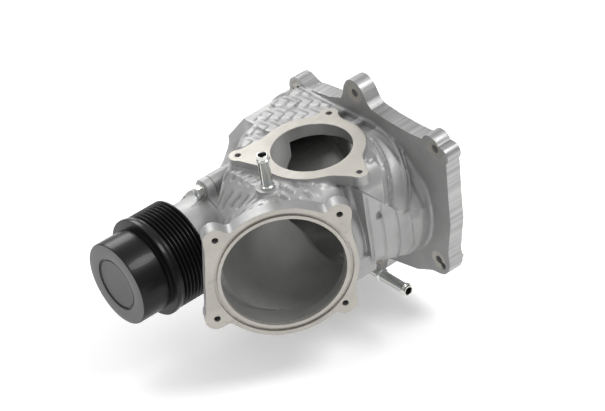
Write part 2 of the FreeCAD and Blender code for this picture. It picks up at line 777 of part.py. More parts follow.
def race_points(inner, y_from):
    """A bearing ring's section, from its seat to the shoulder beside the balls."""
    if inner:
        flat, shoulder = "$shaft_rad", "$ball_track_rad - $shoulder_step"
    else:
        flat, shoulder = "$race_out_rad", "$ball_track_rad + $shoulder_step"
    back = "%s + $race_wide" % y_from
    return [(flat, y_from), (shoulder, y_from), (shoulder, back), (flat, back)]


def bearing_ring(name, inner, y_from):
    """A bearing ring with a round ball track."""
    blank = turned(name + "_blank", race_points(inner, y_from))
    middle = "%s + 0.5 * $race_wide" % y_from
    track = ring_torus(name + "_track", "$ball_track_rad", "$ball_rad + $ball_gap", middle)
    return cut(name, blank, track)


def ball_angle(index):
    return 360.0 * index / BALL_COUNT


def bearing_balls(name, y_from):
    """The ring of balls."""
    balls = []
    for index in range(BALL_COUNT):
        ball = DOC.addObject("Part::Sphere", "%s_%d" % (name, index))
        ball.setExpression("Radius", expr("$ball_rad"))
        x, z = at_angle("$ball_track_rad", ball_angle(index))
        balls.append(place(ball, x, "%s + 0.5 * $race_wide" % y_from, z))
    group = DOC.addObject("Part::Compound", name)
    group.Links = balls
    return group


def bearing_cage(name, y_from):
    """A thin ring with a round hole for each ball."""
    middle = "%s + 0.5 * $race_wide" % y_from
    ring = turned(name + "_ring", washer_points(
        "$ball_track_rad - $cage_half", "$ball_track_rad + $cage_half",
        middle + " - ($ball_rad + $cage_rim)", middle + " + $ball_rad + $cage_rim",
    ))
    pockets = []
    for index in range(BALL_COUNT):
        x, z = at_angle("($ball_track_rad - 2 * $cage_half)", ball_angle(index))
        pockets.append(rod(
            "%s_pocket_%d" % (name, index), "$ball_rad + $ball_gap", "4 * $cage_half",
            x, middle, z, pitch="90 - %s" % ball_angle(index),
        ))
    return cut(name, ring, join(name + "_pockets", pockets))


def bearing(tag, y_from):
    """One ball bearing as four pieces."""
    return {
        tag + "_outer_ring": bearing_ring(tag + "_outer_ring", False, y_from),
        tag + "_inner_ring": bearing_ring(tag + "_inner_ring", True, y_from),
        tag + "_balls": bearing_balls(tag + "_balls", y_from),
        tag + "_cage": bearing_cage(tag + "_cage", y_from),
    }


def bearing_spacer():
    """The sleeve that sets the distance between the two inner rings."""
    return turned("bearing_spacer", washer_points(
        "$shaft_rad", "$shaft_rad + 2.5", "$front_bearing_y + $race_wide", "$rear_bearing_y",
    ))


def circlip(name, y_from):
    """A split ring that stands in its groove and holds a bearing's outer ring."""
    outer = "$race_out_rad + $circlip_deep"
    ring = turned(name + "_ring", washer_points(
        "$race_out_rad - 2", outer, y_from, y_from + " + $circlip_wide",
    ))
    gap = block(
        name + "_gap", ("-3", y_from + " - 1", "-2 * $race_out_rad"),
        ("3", y_from + " + $circlip_wide + 1", "0"),
    )
    return cut(name, ring, gap)


def lip_seal(name, y_from):
    """A shaft seal: a case, and a lip that runs close to the shaft."""
    back = y_from + " + $seal_wide"
    return turned(name, [
        ("$race_out_rad", y_from), ("$race_out_rad", back), ("$shaft_rad + 5", back),
        ("$shaft_rad + 5", y_from + " + 2"), ("$shaft_rad + 2", y_from + " + 4"),
        ("$shaft_rad + $seal_gap", y_from + " + 4"), ("$shaft_rad + $seal_gap", y_from + " + 2.5"),
        ("$shaft_rad + 1.5", y_from),
    ])


# ---- hose tubes and dowels ----

def hose_tube(name, length, radius, bead_at, **where):
    """A bored tube along local +Y from a seat at 0, with swaged beads."""
    body = new_body(name)
    points = [("$tube_bore_rad", "0"), (radius, "0")]
    for spot in bead_at:
        points += [
            (radius, spot + " - 1.8"), ("$bead_rad", spot + " - 0.6"),
            ("$bead_rad", spot + " + 0.6"), (radius, spot + " + 1.8"),
        ]
    points += [(radius, length), ("$tube_bore_rad", length)]
    turn_profile(body, name + "_turn", points)
    return place(body, **where)


def top_nipple():
    seat = "$inlet_z + $inlet_bore_rad + 1"
    length = "$nipple_top - (%s)" % seat
    base = "$wall + 5.5"
    return hose_tube(
        "top_nipple", length, "$tube_rad", (base, "(%s) - 3.5" % length),
        x="$nipple_x", y="$nipple_y", z=seat, roll="90",
    )


def side_tube():
    seat = "$rotor_x + 8"
    length = "$side_end_x - (%s)" % seat
    return hose_tube(
        "side_tube", length, "$side_rad", ("(%s) - 33" % length, "(%s) - 3.5" % length),
        x=seat, y="$side_y", z="$side_z", yaw="-90",
    )


def rear_dowels():
    """Hollow dowels pressed into the rear flange, standing out of its mounting face."""
    dowels = []
    for name in REAR_DOWELS:
        spot = ("$%s_one" % name, "$%s_two" % name)
        outer = rod_back(name + "_outer", "$dowel_rad", "6 - $dowel_len", "6", *spot)
        inner = rod_back(name + "_inner", "$dowel_rad - 1", "5 - $dowel_len", "7", *spot)
        dowels.append(cut(name + "_sleeve", outer, inner))
    group = DOC.addObject("Part::Compound", "rear_dowels")
    group.Links = dowels
    return group


def build_all():
    """Every sub-part by node name."""
    joint = "-$nose_joint"
    parts = {
        "inlet_housing": inlet_housing(),
        "drive_nose": drive_nose(),
        "nose_bolts": nose_bolts(),
        "nose_o_ring": ring_torus(
            "nose_o_ring", "$nose_spigot_rad - $o_ring_rad", "$o_ring_rad - 0.05",
            joint + " + 2 + 1.2 * $o_ring_rad",
        ),
        "belt_pulley": belt_pulley(),
        "pulley_cap": pulley_cap(),
        "pulley_nut": pulley_nut(),
        "pulley_washer": pulley_washer(),
        "pulley_key": pulley_key(),
        "input_shaft": input_shaft(),
        "bearing_spacer": bearing_spacer(),
        "coupling_hub": coupling_hub(),
        "coupling_pins": coupling_pins(),
        "nose_circlip": circlip("nose_circlip", "$front_bearing_y - $circlip_wide"),
        "rear_circlip": circlip("rear_circlip", "$rear_bearing_y + $race_wide"),
        "nose_seal": lip_seal("nose_seal", "$front_bearing_y - $circlip_wide - 1 - $seal_wide"),
        "rear_seal": lip_seal("rear_seal", "$rear_bearing_y + $race_wide + $circlip_wide + 0.5"),
        "top_nipple": top_nipple(),
        "side_tube": side_tube(),
        "rear_dowels": rear_dowels(),
    }
    parts.update(bearing("front", "$front_bearing_y"))
    parts.update(bearing("rear", "$rear_bearing_y"))
    return parts


def check_and_write(parts):
    """Stops on any failed object or bad solid, then writes one file for each sub-part."""
    DOC.recompute()
    for thing in DOC.Objects:
        if "Invalid" in thing.State or "Error" in thing.State:
            raise RuntimeError("failed: %s %s" % (thing.Name, thing.State))
    for name, thing in parts.items():
        if thing.Shape.isNull() or not thing.Shape.isValid():
            raise RuntimeError("bad shape: " + name)
        thing.Label = name
    os.makedirs("parts", exist_ok=True)
    for name, thing in parts.items():
        thing.Shape.exportStep("parts/%s.step" % name)
        print(name, len(thing.Shape.Solids), round(thing.Shape.Volume))


fill_sheet()
check_and_write(build_all())
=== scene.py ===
"""Supercharger inlet and drive housing: castings, pulley, hose tubes, finishes and the studio."""
import json
import math
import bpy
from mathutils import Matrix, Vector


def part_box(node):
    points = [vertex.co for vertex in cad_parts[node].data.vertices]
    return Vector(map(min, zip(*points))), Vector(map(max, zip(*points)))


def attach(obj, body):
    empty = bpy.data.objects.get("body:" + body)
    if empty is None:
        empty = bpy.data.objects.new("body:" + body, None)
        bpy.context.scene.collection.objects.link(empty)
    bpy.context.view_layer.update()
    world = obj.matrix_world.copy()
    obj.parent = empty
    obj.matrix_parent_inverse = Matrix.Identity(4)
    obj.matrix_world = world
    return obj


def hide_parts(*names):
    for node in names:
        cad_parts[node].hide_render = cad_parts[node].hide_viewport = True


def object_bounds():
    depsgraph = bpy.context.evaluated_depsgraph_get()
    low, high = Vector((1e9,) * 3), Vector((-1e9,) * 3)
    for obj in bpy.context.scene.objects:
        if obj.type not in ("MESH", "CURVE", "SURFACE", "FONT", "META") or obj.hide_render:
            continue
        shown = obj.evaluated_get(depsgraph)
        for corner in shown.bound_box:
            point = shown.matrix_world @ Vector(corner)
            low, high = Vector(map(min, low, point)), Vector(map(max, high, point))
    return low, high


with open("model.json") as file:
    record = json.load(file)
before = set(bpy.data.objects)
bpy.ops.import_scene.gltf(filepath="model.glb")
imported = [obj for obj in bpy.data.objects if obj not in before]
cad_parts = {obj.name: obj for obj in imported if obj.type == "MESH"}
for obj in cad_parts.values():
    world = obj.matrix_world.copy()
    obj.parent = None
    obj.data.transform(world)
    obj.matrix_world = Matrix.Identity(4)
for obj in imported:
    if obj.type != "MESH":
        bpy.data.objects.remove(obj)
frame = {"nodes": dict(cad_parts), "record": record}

from concurrent.futures import ThreadPoolExecutor
from types import SimpleNamespace

import bmesh
import bpy
import numpy as np
from bpy.props import FloatProperty, FloatVectorProperty, IntProperty, PointerProperty
from mathutils import Matrix, Vector

bl_info = {
    "name": "Inlet and drive housing",
    "version": (1, 0, 0),
    "blender": (4, 5, 0),
    "location": "View3D > Sidebar > Drive Housing",
    "description": "Builds the cast housing, its drive, its hose tubes and their finishes",
    "category": "Object",
}

CAD_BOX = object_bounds()
MM = 0.001
MOUNTS = {mount["name"]: mount for mount in frame["record"]["mounts"]}


def mount_mm(name):
    """A mount's place in millimetres."""
    return np.array(MOUNTS[name]["pos_m"], float) / MM


def box_mm(node):
    """A node's lowest and highest corners in millimetres."""
    low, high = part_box(node)
    return np.array(low, float) / MM, np.array(high, float) / MM


# ---- sizes and colours a user would change ----

def length(label, description, millimetres):
    """A length property, kept in metres and shown in the scene's unit."""
    return FloatProperty(
        name=label, description=description, default=millimetres * MM, min=0.0, precision=5,
        subtype="DISTANCE", unit="LENGTH",
    )


def tint(label, description, red, green, blue):
    """A colour property."""
    return FloatVectorProperty(
        name=label, description=description, default=(red, green, blue), size=3, min=0.0, max=1.0,
        subtype="COLOR",
    )


class CastingSizes(bpy.types.PropertyGroup):
    """The casting's walls, fillets and relief."""
    step: length("Mesh step", "Spacing of the grid that the casting is meshed on", 1.2)
    wall: length("Wall", "Thickness of the cast walls", 6.0)
    fillet: length("Fillet", "Radius of the cast fillets between the big forms", 7.0)
    relief: length("Weave relief", "Height of the woven relief on the shoulder", 1.25)
    bead: length("Bead", "Height of the beads round the rotor case", 1.7)
    triangles: IntProperty(
        name="Triangles", description="Most triangles that the casting keeps", default=196000, min=20000,
    )


class DriveSizes(bpy.types.PropertyGroup):
    """The pulley and its hub."""
    hub: length("Hub radius", "Radius of the plain hub in front of the belt", 36.0)
    ring: length("Ring radius", "Radius of the ring beside the belt", 43.0)
    rib: length("Rib radius", "Radius over the belt ribs", 42.0)
    pitch: length("Rib pitch", "Distance from one belt groove to the next", 3.56)
    groove: length("Groove depth", "Depth of each belt groove", 2.9)
    grooves: IntProperty(name="Grooves", description="Number of belt grooves", default=8, min=1)
    edge: length("Edge break", "Size of the broken edges", 0.8)


class FinishColours(bpy.types.PropertyGroup):
    """Base colours of the finishes."""
    cast: tint("Cast skin", "Blasted cast aluminium", 0.39, 0.39, 0.388)
    machined: tint("Machined faces", "Milled aluminium", 0.48, 0.46, 0.42)
    # The inner skin is darker than the cast skin: painted shade inside the ducts.
    inner: tint("Inner skin", "Cast skin inside the ducts", 0.30, 0.30, 0.295)
    pulley: tint("Pulley", "Gloss black pulley", 0.006, 0.006, 0.0065)
    face: tint("Pulley face", "Turned face of the hub", 0.11, 0.11, 0.112)
    zinc: tint("Zinc", "Plated hose tubes and bolts", 0.62, 0.65, 0.66)


class StudioSettings(bpy.types.PropertyGroup):
    """Floor and lights."""
    floor: tint("Floor", "Colour of the floor", 0.93, 0.93, 0.93)
    key: FloatProperty(name="Key light", description="Power of the key light", default=15.0, unit="POWER")
    fill: FloatProperty(name="Fill light", description="Power of the fill light", default=3.0, unit="POWER")
    rim: FloatProperty(name="Rim light", description="Power of the rim light", default=6.0, unit="POWER")
    distance: length("Camera distance", "Distance from the camera to the object", 2500.0)
    field: length("Field width", "Width that the camera takes in at the object", 484.0)


# ---- distance fields, in millimetres ----

def soft_join(first, second, radius):
    """The union of two forms with a fillet between them."""
    share = np.clip(0.5 + 0.5 * (second - first) / radius, 0, 1)
    return second + (first - second) * share - radius * share * (1 - share)


def soft_meet(first, second, radius):
    """What two forms share, with its new edges rounded."""
    return -soft_join(-first, -second, radius)


def between(value, low, high):
    """Distance to the slice from low to high."""
    return np.maximum(low - value, value - high)


def round_rod(across, up, along, centre, radius, low, high):
    """A rod: its centre is (across, up), and it runs from low to high."""
    side = np.hypot(across - centre[0], up - centre[1]) - radius
    return np.maximum(side, between(along, low, high))


def capsule(spot, start, end, radius):
    """A round bar with round ends."""
    run = [b - a for a, b in zip(start, end)]
    to_spot = [value - a for value, a in zip(spot, start)]
    share = sum(a * b for a, b in zip(to_spot, run)) / sum(a * a for a in run)
    share = np.clip(share, 0, 1)
    return np.sqrt(sum((a - share * b) ** 2 for a, b in zip(to_spot, run))) - radius


def tapered(across, up, start, end, start_radius, end_radius):
    """Two circles and the ground between them, in a plane."""
    run = (end[0] - start[0], end[1] - start[1])
    share = ((across - start[0]) * run[0] + (up - start[1]) * run[1]) / (run[0] ** 2 + run[1] ** 2)
    share = np.clip(share, 0, 1)
    radius = start_radius + (end_radius - start_radius) * share
    return np.hypot(across - start[0] - share * run[0], up - start[1] - share * run[1]) - radius


def outline(across, up, points):
    """Distance to a closed outline in a plane, negative inside it."""
    nearest = np.full(across.shape, 1e9, across.dtype)
    inside = np.zeros(across.shape, bool)
    for (ax, ay), (bx, by) in zip(points, points[1:] + points[:1]):
        ex, ey = bx - ax, by - ay
        wx, wy = across - ax, up - ay
        share = np.clip((wx * ex + wy * ey) / (ex * ex + ey * ey), 0, 1)
        nearest = np.minimum(nearest, (wx - share * ex) ** 2 + (wy - share * ey) ** 2)
        if ay != by:
            inside ^= ((ay > up) != (by > up)) & (wx < ex * wy / ey)
    return np.where(inside, -1, 1) * np.sqrt(nearest)


def slab(spot, low, high):
    """A box between two corners."""
    sides = [between(value, a, b) for value, a, b in zip(spot, low, high)]
    return np.maximum(np.maximum(sides[0], sides[1]), sides[2])


def ramp(value, low, high):
    """A smooth step from 0 at low to 1 at high."""
    share = np.clip((value - low) / (high - low), 0, 1)
    return share * share * (3 - 2 * share)


def swell(value, centre, half):
    """A round-topped bump of the given half width."""
    return np.exp(-((value - centre) / half) ** 2)


# ---- meshing a field with crisp edges ----

BLOCK = 8            # grid steps along each side of a block
BATCH = 96           # blocks worked out at a time
THREADS = 4
FAR = 1e3            # stands for any distance in a block that the surface misses
SLACK = 4.0          # how far a blended field may stand from the true distance
PROBE = 0.05         # how far a spot moves to find the field's slope
STEADY = 0.06        # pull of each vertex towards the middle of its cell's crossings
PATCH = 30000        # surface spots worked out at a time


def spread(work, jobs):
    """Runs the jobs side by side and keeps their order."""
    with ThreadPoolExecutor(THREADS) as pool:
        return list(pool.map(work, jobs))


def sample_field(field, low, high, step):
    """Distances on a grid, worked out only in the blocks that the surface may pass through."""
    blocks = np.ceil((high - low) / (step * BLOCK)).astype(int)
    index = np.stack(np.meshgrid(*[np.arange(n) for n in blocks], indexing="ij"), -1).reshape(-1, 3)
    corner = low + index * (step * BLOCK)
    middle = (corner + 0.5 * step * BLOCK).astype(np.float32)
    reach = 0.87 * step * BLOCK + SLACK
    parts = np.array_split(np.arange(len(middle)), 2 * THREADS)
    centre = np.concatenate(spread(lambda part: field(*middle[part].T), parts))
    values = np.where(centre < 0, -FAR, FAR).astype(np.float32)
    values = np.repeat(values, BLOCK ** 3).reshape(-1, BLOCK, BLOCK, BLOCK)
    near = np.flatnonzero(np.abs(centre) < reach)
    inner = np.stack(np.meshgrid(*[np.arange(BLOCK) * step] * 3, indexing="ij"), -1)

    def fill(chosen):
        spots = (corner[chosen][:, None, None, None, :] + inner).reshape(-1, 3).astype(np.float32)
        values[chosen] = field(*spots.T).reshape(-1, BLOCK, BLOCK, BLOCK)

    spread(fill, [near[i:i + BATCH] for i in range(0, len(near), BATCH)])
    values = values.reshape(*blocks, BLOCK, BLOCK, BLOCK).transpose(0, 3, 1, 4, 2, 5)
    return values.reshape(*(blocks * BLOCK))


def surface_points(field, values, low, step, axis):
    """Where the grid's edges along one axis cross the surface: places, directions, cells, side."""
    ahead = np.roll(np.eye(3, dtype=int)[0], axis)
    cut = [slice(1, -1)] * 3
    cut[axis] = slice(0, -1)
    shifted = [slice(1, -1)] * 3
    shifted[axis] = slice(1, None)
    first, second = values[tuple(cut)], values[tuple(shifted)]
    found = np.argwhere((first < 0) != (second < 0)) + 1 - ahead
    start = values[tuple(found.T)]
    end = values[tuple((found + ahead).T)]
    share = start / (start - end)

    def place(part, along):
        return (low + step * (found[part] + along[:, None] * ahead)).astype(np.float32)

    def settle(part):
        here = share[part].astype(np.float64)
        value = field(*place(part, here).T)
        same = (value < 0) == (start[part] < 0)
        near, far = np.where(same, here, 0), np.where(same, 1, here)
        near_value = np.where(same, value, start[part])
        far_value = np.where(same, end[part], value)
        gap = near_value - far_value
        gap = np.where(np.abs(gap) < 1e-9, 1e-9, gap)
        spot = place(part, np.clip(near + (far - near) * near_value / gap, 0, 1))
        base = field(*spot.T)
        slope = []
        for direction in range(3):
            moved = spot.copy()
            moved[:, direction] += PROBE
            slope.append(field(*moved.T) - base)
        slope = np.stack(slope, -1)
        slope /= np.linalg.norm(slope, axis=1, keepdims=True) + 1e-12
        return spot, slope

    done = spread(settle, np.array_split(np.arange(len(found)), max(1, len(found) // PATCH)))
    spots = np.concatenate([part[0] for part in done])
    slopes = np.concatenate([part[1] for part in done])
    one, two = np.roll(np.eye(3, dtype=int), axis, 1)[[1, 2]] if axis else np.eye(3, dtype=int)[[1, 2]]
    cells = np.stack([found - one - two, found - two, found, found - one], 1)
    cells[start >= 0] = cells[start >= 0][:, ::-1]
    return spots, slopes, cells


def mesh_field(name, field, low, high, step):
    """A mesh of the field's zero surface, with a vertex at the sharpest spot of each cell."""
    low, high = low - 2 * step, high + 3 * step
    values = sample_field(field, low, high, step)
    shape = values.shape
    rows = [surface_points(field, values, low, step, axis) for axis in range(3)]
    spots, slopes, cells = [np.concatenate(part) for part in zip(*rows)]
    key = (cells[..., 0] * shape[1] + cells[..., 1]) * shape[2] + cells[..., 2]
    used, where = np.unique(key, return_inverse=True)
    where = where.reshape(key.shape)
    count = len(used)
    flat = where.ravel()

    def gather(column):
        return np.bincount(flat, np.repeat(column, 4), count)

    hits = np.bincount(flat, minlength=count)
    middle = np.stack([gather(spots[:, i]) for i in range(3)], -1) / hits[:, None]
    spots4 = np.repeat(spots, 4, axis=0) - middle[flat]
    slopes4 = np.repeat(slopes, 4, axis=0)
    offset = (spots4 * slopes4).sum(1)
    square = np.empty((count, 3, 3))
    for i in range(3):
        for j in range(i, 3):
            square[:, i, j] = np.bincount(flat, slopes4[:, i] * slopes4[:, j], count)
            square[:, j, i] = square[:, i, j]
    right = np.stack([np.bincount(flat, slopes4[:, i] * offset, count) for i in range(3)], -1)
    steady = STEADY * np.eye(3) * hits[:, None, None]
    moved = np.linalg.solve(square + steady, right[..., None])[..., 0]
    index = np.stack(np.unravel_index(used, shape), -1)
    cell_low = low + index * step
    places = np.clip(middle + moved, cell_low, cell_low + step)

    mesh = bpy.data.meshes.new(name)
    mesh.vertices.add(count)
    mesh.vertices.foreach_set("co", (places * MM).astype(np.float32).ravel())
    mesh.loops.add(where.size)
    mesh.loops.foreach_set("vertex_index", where.astype(np.int32).ravel())
    mesh.polygons.add(len(where))
    mesh.polygons.foreach_set("loop_start", np.arange(0, where.size, 4, dtype=np.int32))
    mesh.update(calc_edges=True)
    mesh.validate()
    return mesh


def add_object(name, mesh):
    """A scene object that holds the mesh."""
    obj = bpy.data.objects.new(name, mesh)
    bpy.context.scene.collection.objects.link(obj)
    return obj


def thin_out(obj, triangles):
    """Collapses the flattest faces until the mesh is within its triangle count."""
    mesh = obj.data
    have = sum(len(face.vertices) - 2 for face in mesh.polygons)
    if have <= triangles:
        return
    modifier = obj.modifiers.new("thin", "DECIMATE")
    modifier.ratio = triangles / have
    graph = bpy.context.evaluated_depsgraph_get()
    lighter = bpy.data.meshes.new_from_object(obj.evaluated_get(graph))
    obj.modifiers.clear()
    obj.data = lighter
    lighter.name = mesh.name
    bpy.data.meshes.remove(mesh)


def shade(obj, degrees=32):
    """Smooth shading that breaks at sharp edges."""
    mesh = obj.data
    mesh.polygons.foreach_set("use_smooth", np.ones(len(mesh.polygons), bool))
    mesh.set_sharp_from_angle(angle=math.radians(degrees))
    mesh.update()


def face_centres(mesh):
    """Each face's centre, in millimetres."""
    centres = np.empty(len(mesh.polygons) * 3)
    mesh.polygons.foreach_get("center", centres)
    return centres.reshape(-1, 3) / MM


def face_normals(mesh):
    """Each face's direction."""
    normals = np.empty(len(mesh.polygons) * 3)
    mesh.polygons.foreach_get("normal", normals)
    return normals.reshape(-1, 3)


# ---- the casting's own sizes ----

REAR_EARS = [(-11.2, 71.6), (65.3, 101.5), (160.4, 89.3), (147.2, -25.3)]
LOW_EARS = [(66.0, -62.0), (13.0, -74.5), (-44.0, -61.5), (-75.5, -6.5)]
REAR_DOWELS = [(152.0, -29.0), (-60.0, -38.0)]
INLET_TAPS = [(-49.0, 44.0), (50.0, 43.0), (44.0, -42.0), (-58.0, -30.0)]
PORT_TAPS = [(-37.7, -45.3), (-26.6, 40.3), (55.5, 2.7)]
EAR = 12.0
LOW_EAR = 11.0
CORNER_LOBES = [((155.5, 90.0), 9.5), ((168.0, 86.0), 7.5)]
FLANGE = 14.0
SPOT_FACE = 8.0
SPOT_DEEP = 0.6
BOLT_HOLE = 3.6
TAP = 2.6
TAP_DEEP = 11.0
DOWEL = 3.0
LOBE = 9.0

ROTOR = (85.8, 23.6)
ROTOR_CASE = 56.5
DRIVE_DISC = 68.0
BODY_FRONT = -74.0
NOSE_JOINT = -122.0
NOSE_BOSS = 36.0
NOSE_PITCH_RADIUS = 40.0
NOSE_SPOTS = [
    (NOSE_PITCH_RADIUS * math.cos(angle), NOSE_PITCH_RADIUS * math.sin(angle))
    for angle in map(math.radians, (90, 210, 330))
]
DECK = 77.0
OVERLAP = -8.0       # how far into the rear flange the body's forms run
TUNNEL = 29.0
RACE = 21.0
CLIP_GROOVE = 1.2
CLIP_WIDE = 1.6
REAR_RACE = (-32.0, -20.0)
SPIGOT = 26.0
SPIGOT_DEEP = 8.0
COUPLING_ROOM = 25.0
BOLT_RADIUS = 3.0

INLET = mount_mm("inlet_taps")
INLET_AXIS = np.array(MOUNTS["inlet_taps"]["axis"], float)
INLET_BORE = MOUNTS["inlet_bore"]["dims"]["r_mm"]
INLET_RING = 60.0
INLET_THICK = 12.0
INLET_GROOVE = (53.2, 56.0)
GROOVE_DEEP = 2.0
PORT = mount_mm("port_taps")
PORT_BORE = MOUNTS["port_bore"]["dims"]["r_mm"]
PORT_LAND = 43.5
PORT_THICK = 9.0
NIPPLE = mount_mm("top_nipple_spigot")
NIPPLE_RADIUS = MOUNTS["top_nipple_spigot"]["dims"]["r_mm"]
SIDE_TUBE = mount_mm("side_tube_spigot")
SIDE_RADIUS = MOUNTS["side_tube_spigot"]["dims"]["r_mm"]
DUCT_END = (73.0, -66.0)
BELL = ([-122.0, -96.0, -62.0, -32.0, -14.0], [36.0, 37.0, 57.0, 63.0, 66.0])

PLATE = [
    (0.0, -60.0), (40.0, -64.0), (88.8, -54.5), (117.8, -48.8), (150.0, -34.5), (158.0, -25.0),
    (168.6, 19.4), (170.0, 45.0), (172.8, 78.0), (167.0, 91.0), (150.0, 93.0), (128.0, 91.5),
    (104.0, 92.0), (86.0, 94.0), (76.0, 100.0), (54.0, 100.0), (46.0, 89.0), (30.0, 83.0),
    (8.0, 80.0), (-12.0, 72.0),
]
SHOULDER = [
    (97.0, -170.0), (64.0, -160.0), (41.0, -146.0), (31.0, -130.0), (21.0, -114.0), (0.0, -87.0),
    (-9.0, -53.0), (-16.0, -10.0), (100.0, -10.0), (126.0, -40.0), (124.0, -96.0), (118.0, -140.0),
]
CORE = [(-35.0, -46.0), (19.0, -57.0), (85.8, -33.0), (85.8, 80.0), (-8.0, 77.0), (-35.0, 48.0)]
CASE_BEADS = (-61.4, -58.2, -43.2, -40.0)
CASE_RIBS = (-73.0, -60.5, -46.5, -33.0)
CASE_NOTCH = ((141.0, -63.0, 43.0), (147.0, -60.0, 49.0), 2.4)
FACET = ((-2.0, -48.0, 60.0), (14.0, -36.0, DECK + 2.5))
RIDGE = ((124.0, -75.0, 76.0), (130.0, -79.0, 42.0), 3.2)
WEB = ((112.0, -98.0, -6.0), (139.0, -70.0, 10.0))
DECK_POCKETS = [((low, -26, DECK - 1), (high, -15.5, 95)) for low, high in ((52, 68), (75, 90))]
STRUTS = [((-3, -60, -62), (3, -2, 0)), ((-62, -60, -3), (0, -2, 3))]


def inlet_frame(x, y, z):
    """Across the inlet's face, up it, and the depth behind it."""
    yaw_cos, yaw_sin = -INLET_AXIS[1], INLET_AXIS[0]
    return (
        (x - INLET[0]) * yaw_cos + (y - INLET[1]) * yaw_sin,
        z - INLET[2],
        -(x - INLET[0]) * yaw_sin + (y - INLET[1]) * yaw_cos,
    )


def duct(x, y, z, radius, depth, half_wide, half_high, centre_x, end_y):
    """A duct from the round inlet to an upright oval in a plane across the drive axis."""
    yaw_cos, yaw_sin = -INLET_AXIS[1], INLET_AXIS[0]
    up, behind = inlet_frame(x, y, z)[1:]
    behind = behind - depth
    ahead = end_y - y
    share = np.clip(behind / np.maximum(behind + ahead, 1), 0, 1)
    mouth_x, mouth_y = INLET[0] - depth * yaw_sin, INLET[1] + depth * yaw_cos
    along_x = yaw_cos + (1 - yaw_cos) * share
    along_y = yaw_sin * (1 - share)
    across = (x - mouth_x - (centre_x - mouth_x) * share) * along_x
    across += (y - mouth_y - (end_y - mouth_y) * share) * along_y
    across /= np.hypot(along_x, along_y)
    wide = radius + (half_wide - radius) * share
    high = radius + (half_high - radius) * share
    side = (np.sqrt((across / wide) ** 2 + (up / high) ** 2) - 1) * np.minimum(wide, high)
    return np.maximum(side, np.maximum(-behind, -ahead))


def weave(across, along):
    """Staggered slats, each rising to a short step: 0 in the valleys, 1 at a step's top."""
    column, row, shift, slope, half = 8.4, 20.6, 4.7, 14.0, 5.6
    height = np.zeros_like(across)
    for ahead in (0, 1):
        number = np.ceil(across / column) + ahead
        back = number * column - across
        offset = along - number * shift
        offset = np.abs(offset - row * np.round(offset / row))
        rise = np.clip(1 - back / slope, 0, 1) * ramp(back, 0, 1.2)
        height = np.maximum(height, rise * (1 - ramp(offset, half - 1.6, half + 1.6)))
    return height


def strokes(across, along):
    """Short grooves in staggered rows: 1 on a groove's middle line, 0 away from it."""
    column, row, shift, half = 8.7, 17.5, 3.2, 5.0
    number = np.round(across / column)
    aside = across - number * column
    offset = along - number * shift
    offset = np.abs(offset - row * np.round(offset / row))
    return np.exp(-(aside / 1.5) ** 2) * (1 - ramp(offset, half - 1.5, half + 1.5))


def shoulder_relief(x, y, z):
    """The relief over the shoulder: woven slats on the deck, and short grooves towards the inlet."""
    slats = weave(0.98 * x + 0.18 * y, 0.98 * y - 0.18 * x)
    lengthwise = strokes(0.97 * x - 0.24 * y, 0.97 * y + 0.24 * x)
    crosswise = strokes(-0.99 * y + 0.05 * x, 0.99 * x + 0.05 * y)
    grooves = np.where(x > 99, crosswise, lengthwise)
    front = ramp(-y, 100, 104)
    height = slats * (1 - front) - 1.6 * grooves * front
    rim = np.where(y < -100, 3.0, 7.0)
    region = ramp(z, 36, 44) * (1 - ramp(x, 120, 126)) * ramp(-y, 16, 20)
    return height * region * ramp(-outline(x, y, SHOULDER) - rim, -2, 2)


def lower_taper(across, up, y):
    """How much the rotor case draws in at the front of its lower outer side."""
    return 13.0 * ramp(-up, 0, 25) * ramp(-y, 25, -BODY_FRONT) * ramp(across, 0, 20)


def rotor_case(x, y, z, sizes):
    """The round case over the rotors: swept beads above, upright ribs below a ledge."""
    across, up = x - ROTOR[0], z - ROTOR[1]
    radius = np.hypot(across, up)
    rise = np.clip(up / np.maximum(radius, 1), 0, 1)
    outer_side = ramp(across, 6, 20)
    swept = y - 31.0 * rise
    ledge_low = 33.0 + 1.1 * np.maximum(-39 - y, 0) - 0.19 * np.maximum(y + 39, 0)
    above = ramp(z - ledge_low, -0.5, 0.5)
    beads = sum(swell(swept, centre, 0.9) for centre in CASE_BEADS)
    band = ramp(swept, -66, -63) * (1 - ramp(y, -24, -20))
    skin = ROTOR_CASE + (sizes.bead * beads + 1.6 * band) * outer_side * above
    skin = skin + 4.5 * ramp(swept, -36, -24) * outer_side * (1 - 0.7 * ramp(y, -16, -8))
    skin = skin - lower_taper(across, up, y)
    upper = np.maximum((radius - skin) * 0.9, between(y, BODY_FRONT, OVERLAP))
    corner = 40.0
    centre = (ROTOR[0] + ROTOR_CASE - corner, 12.0)
    below = np.hypot(np.maximum(x - centre[0], 0), np.maximum(centre[1] - z, 0)) - corner
    ribs = sum(swell(y, place, 0.9) for place in CASE_RIBS)
    below = below - 1.5 * ribs * (1 - ramp(z - ledge_low, -7, -1))
    lower = np.maximum(np.maximum(below, between(y, BODY_FRONT - 1.5, OVERLAP)), z - ledge_low)
    lower = np.maximum(lower, 60 - x)
    slant = (-6.0 - 0.55 * (y + 60) - z) * 0.87
    lower = soft_meet(lower, slant, 9.0)
    case = soft_join(upper, lower, 1.5)
    return soft_meet(case, -capsule((x, y, z), *CASE_NOTCH), 1.5)


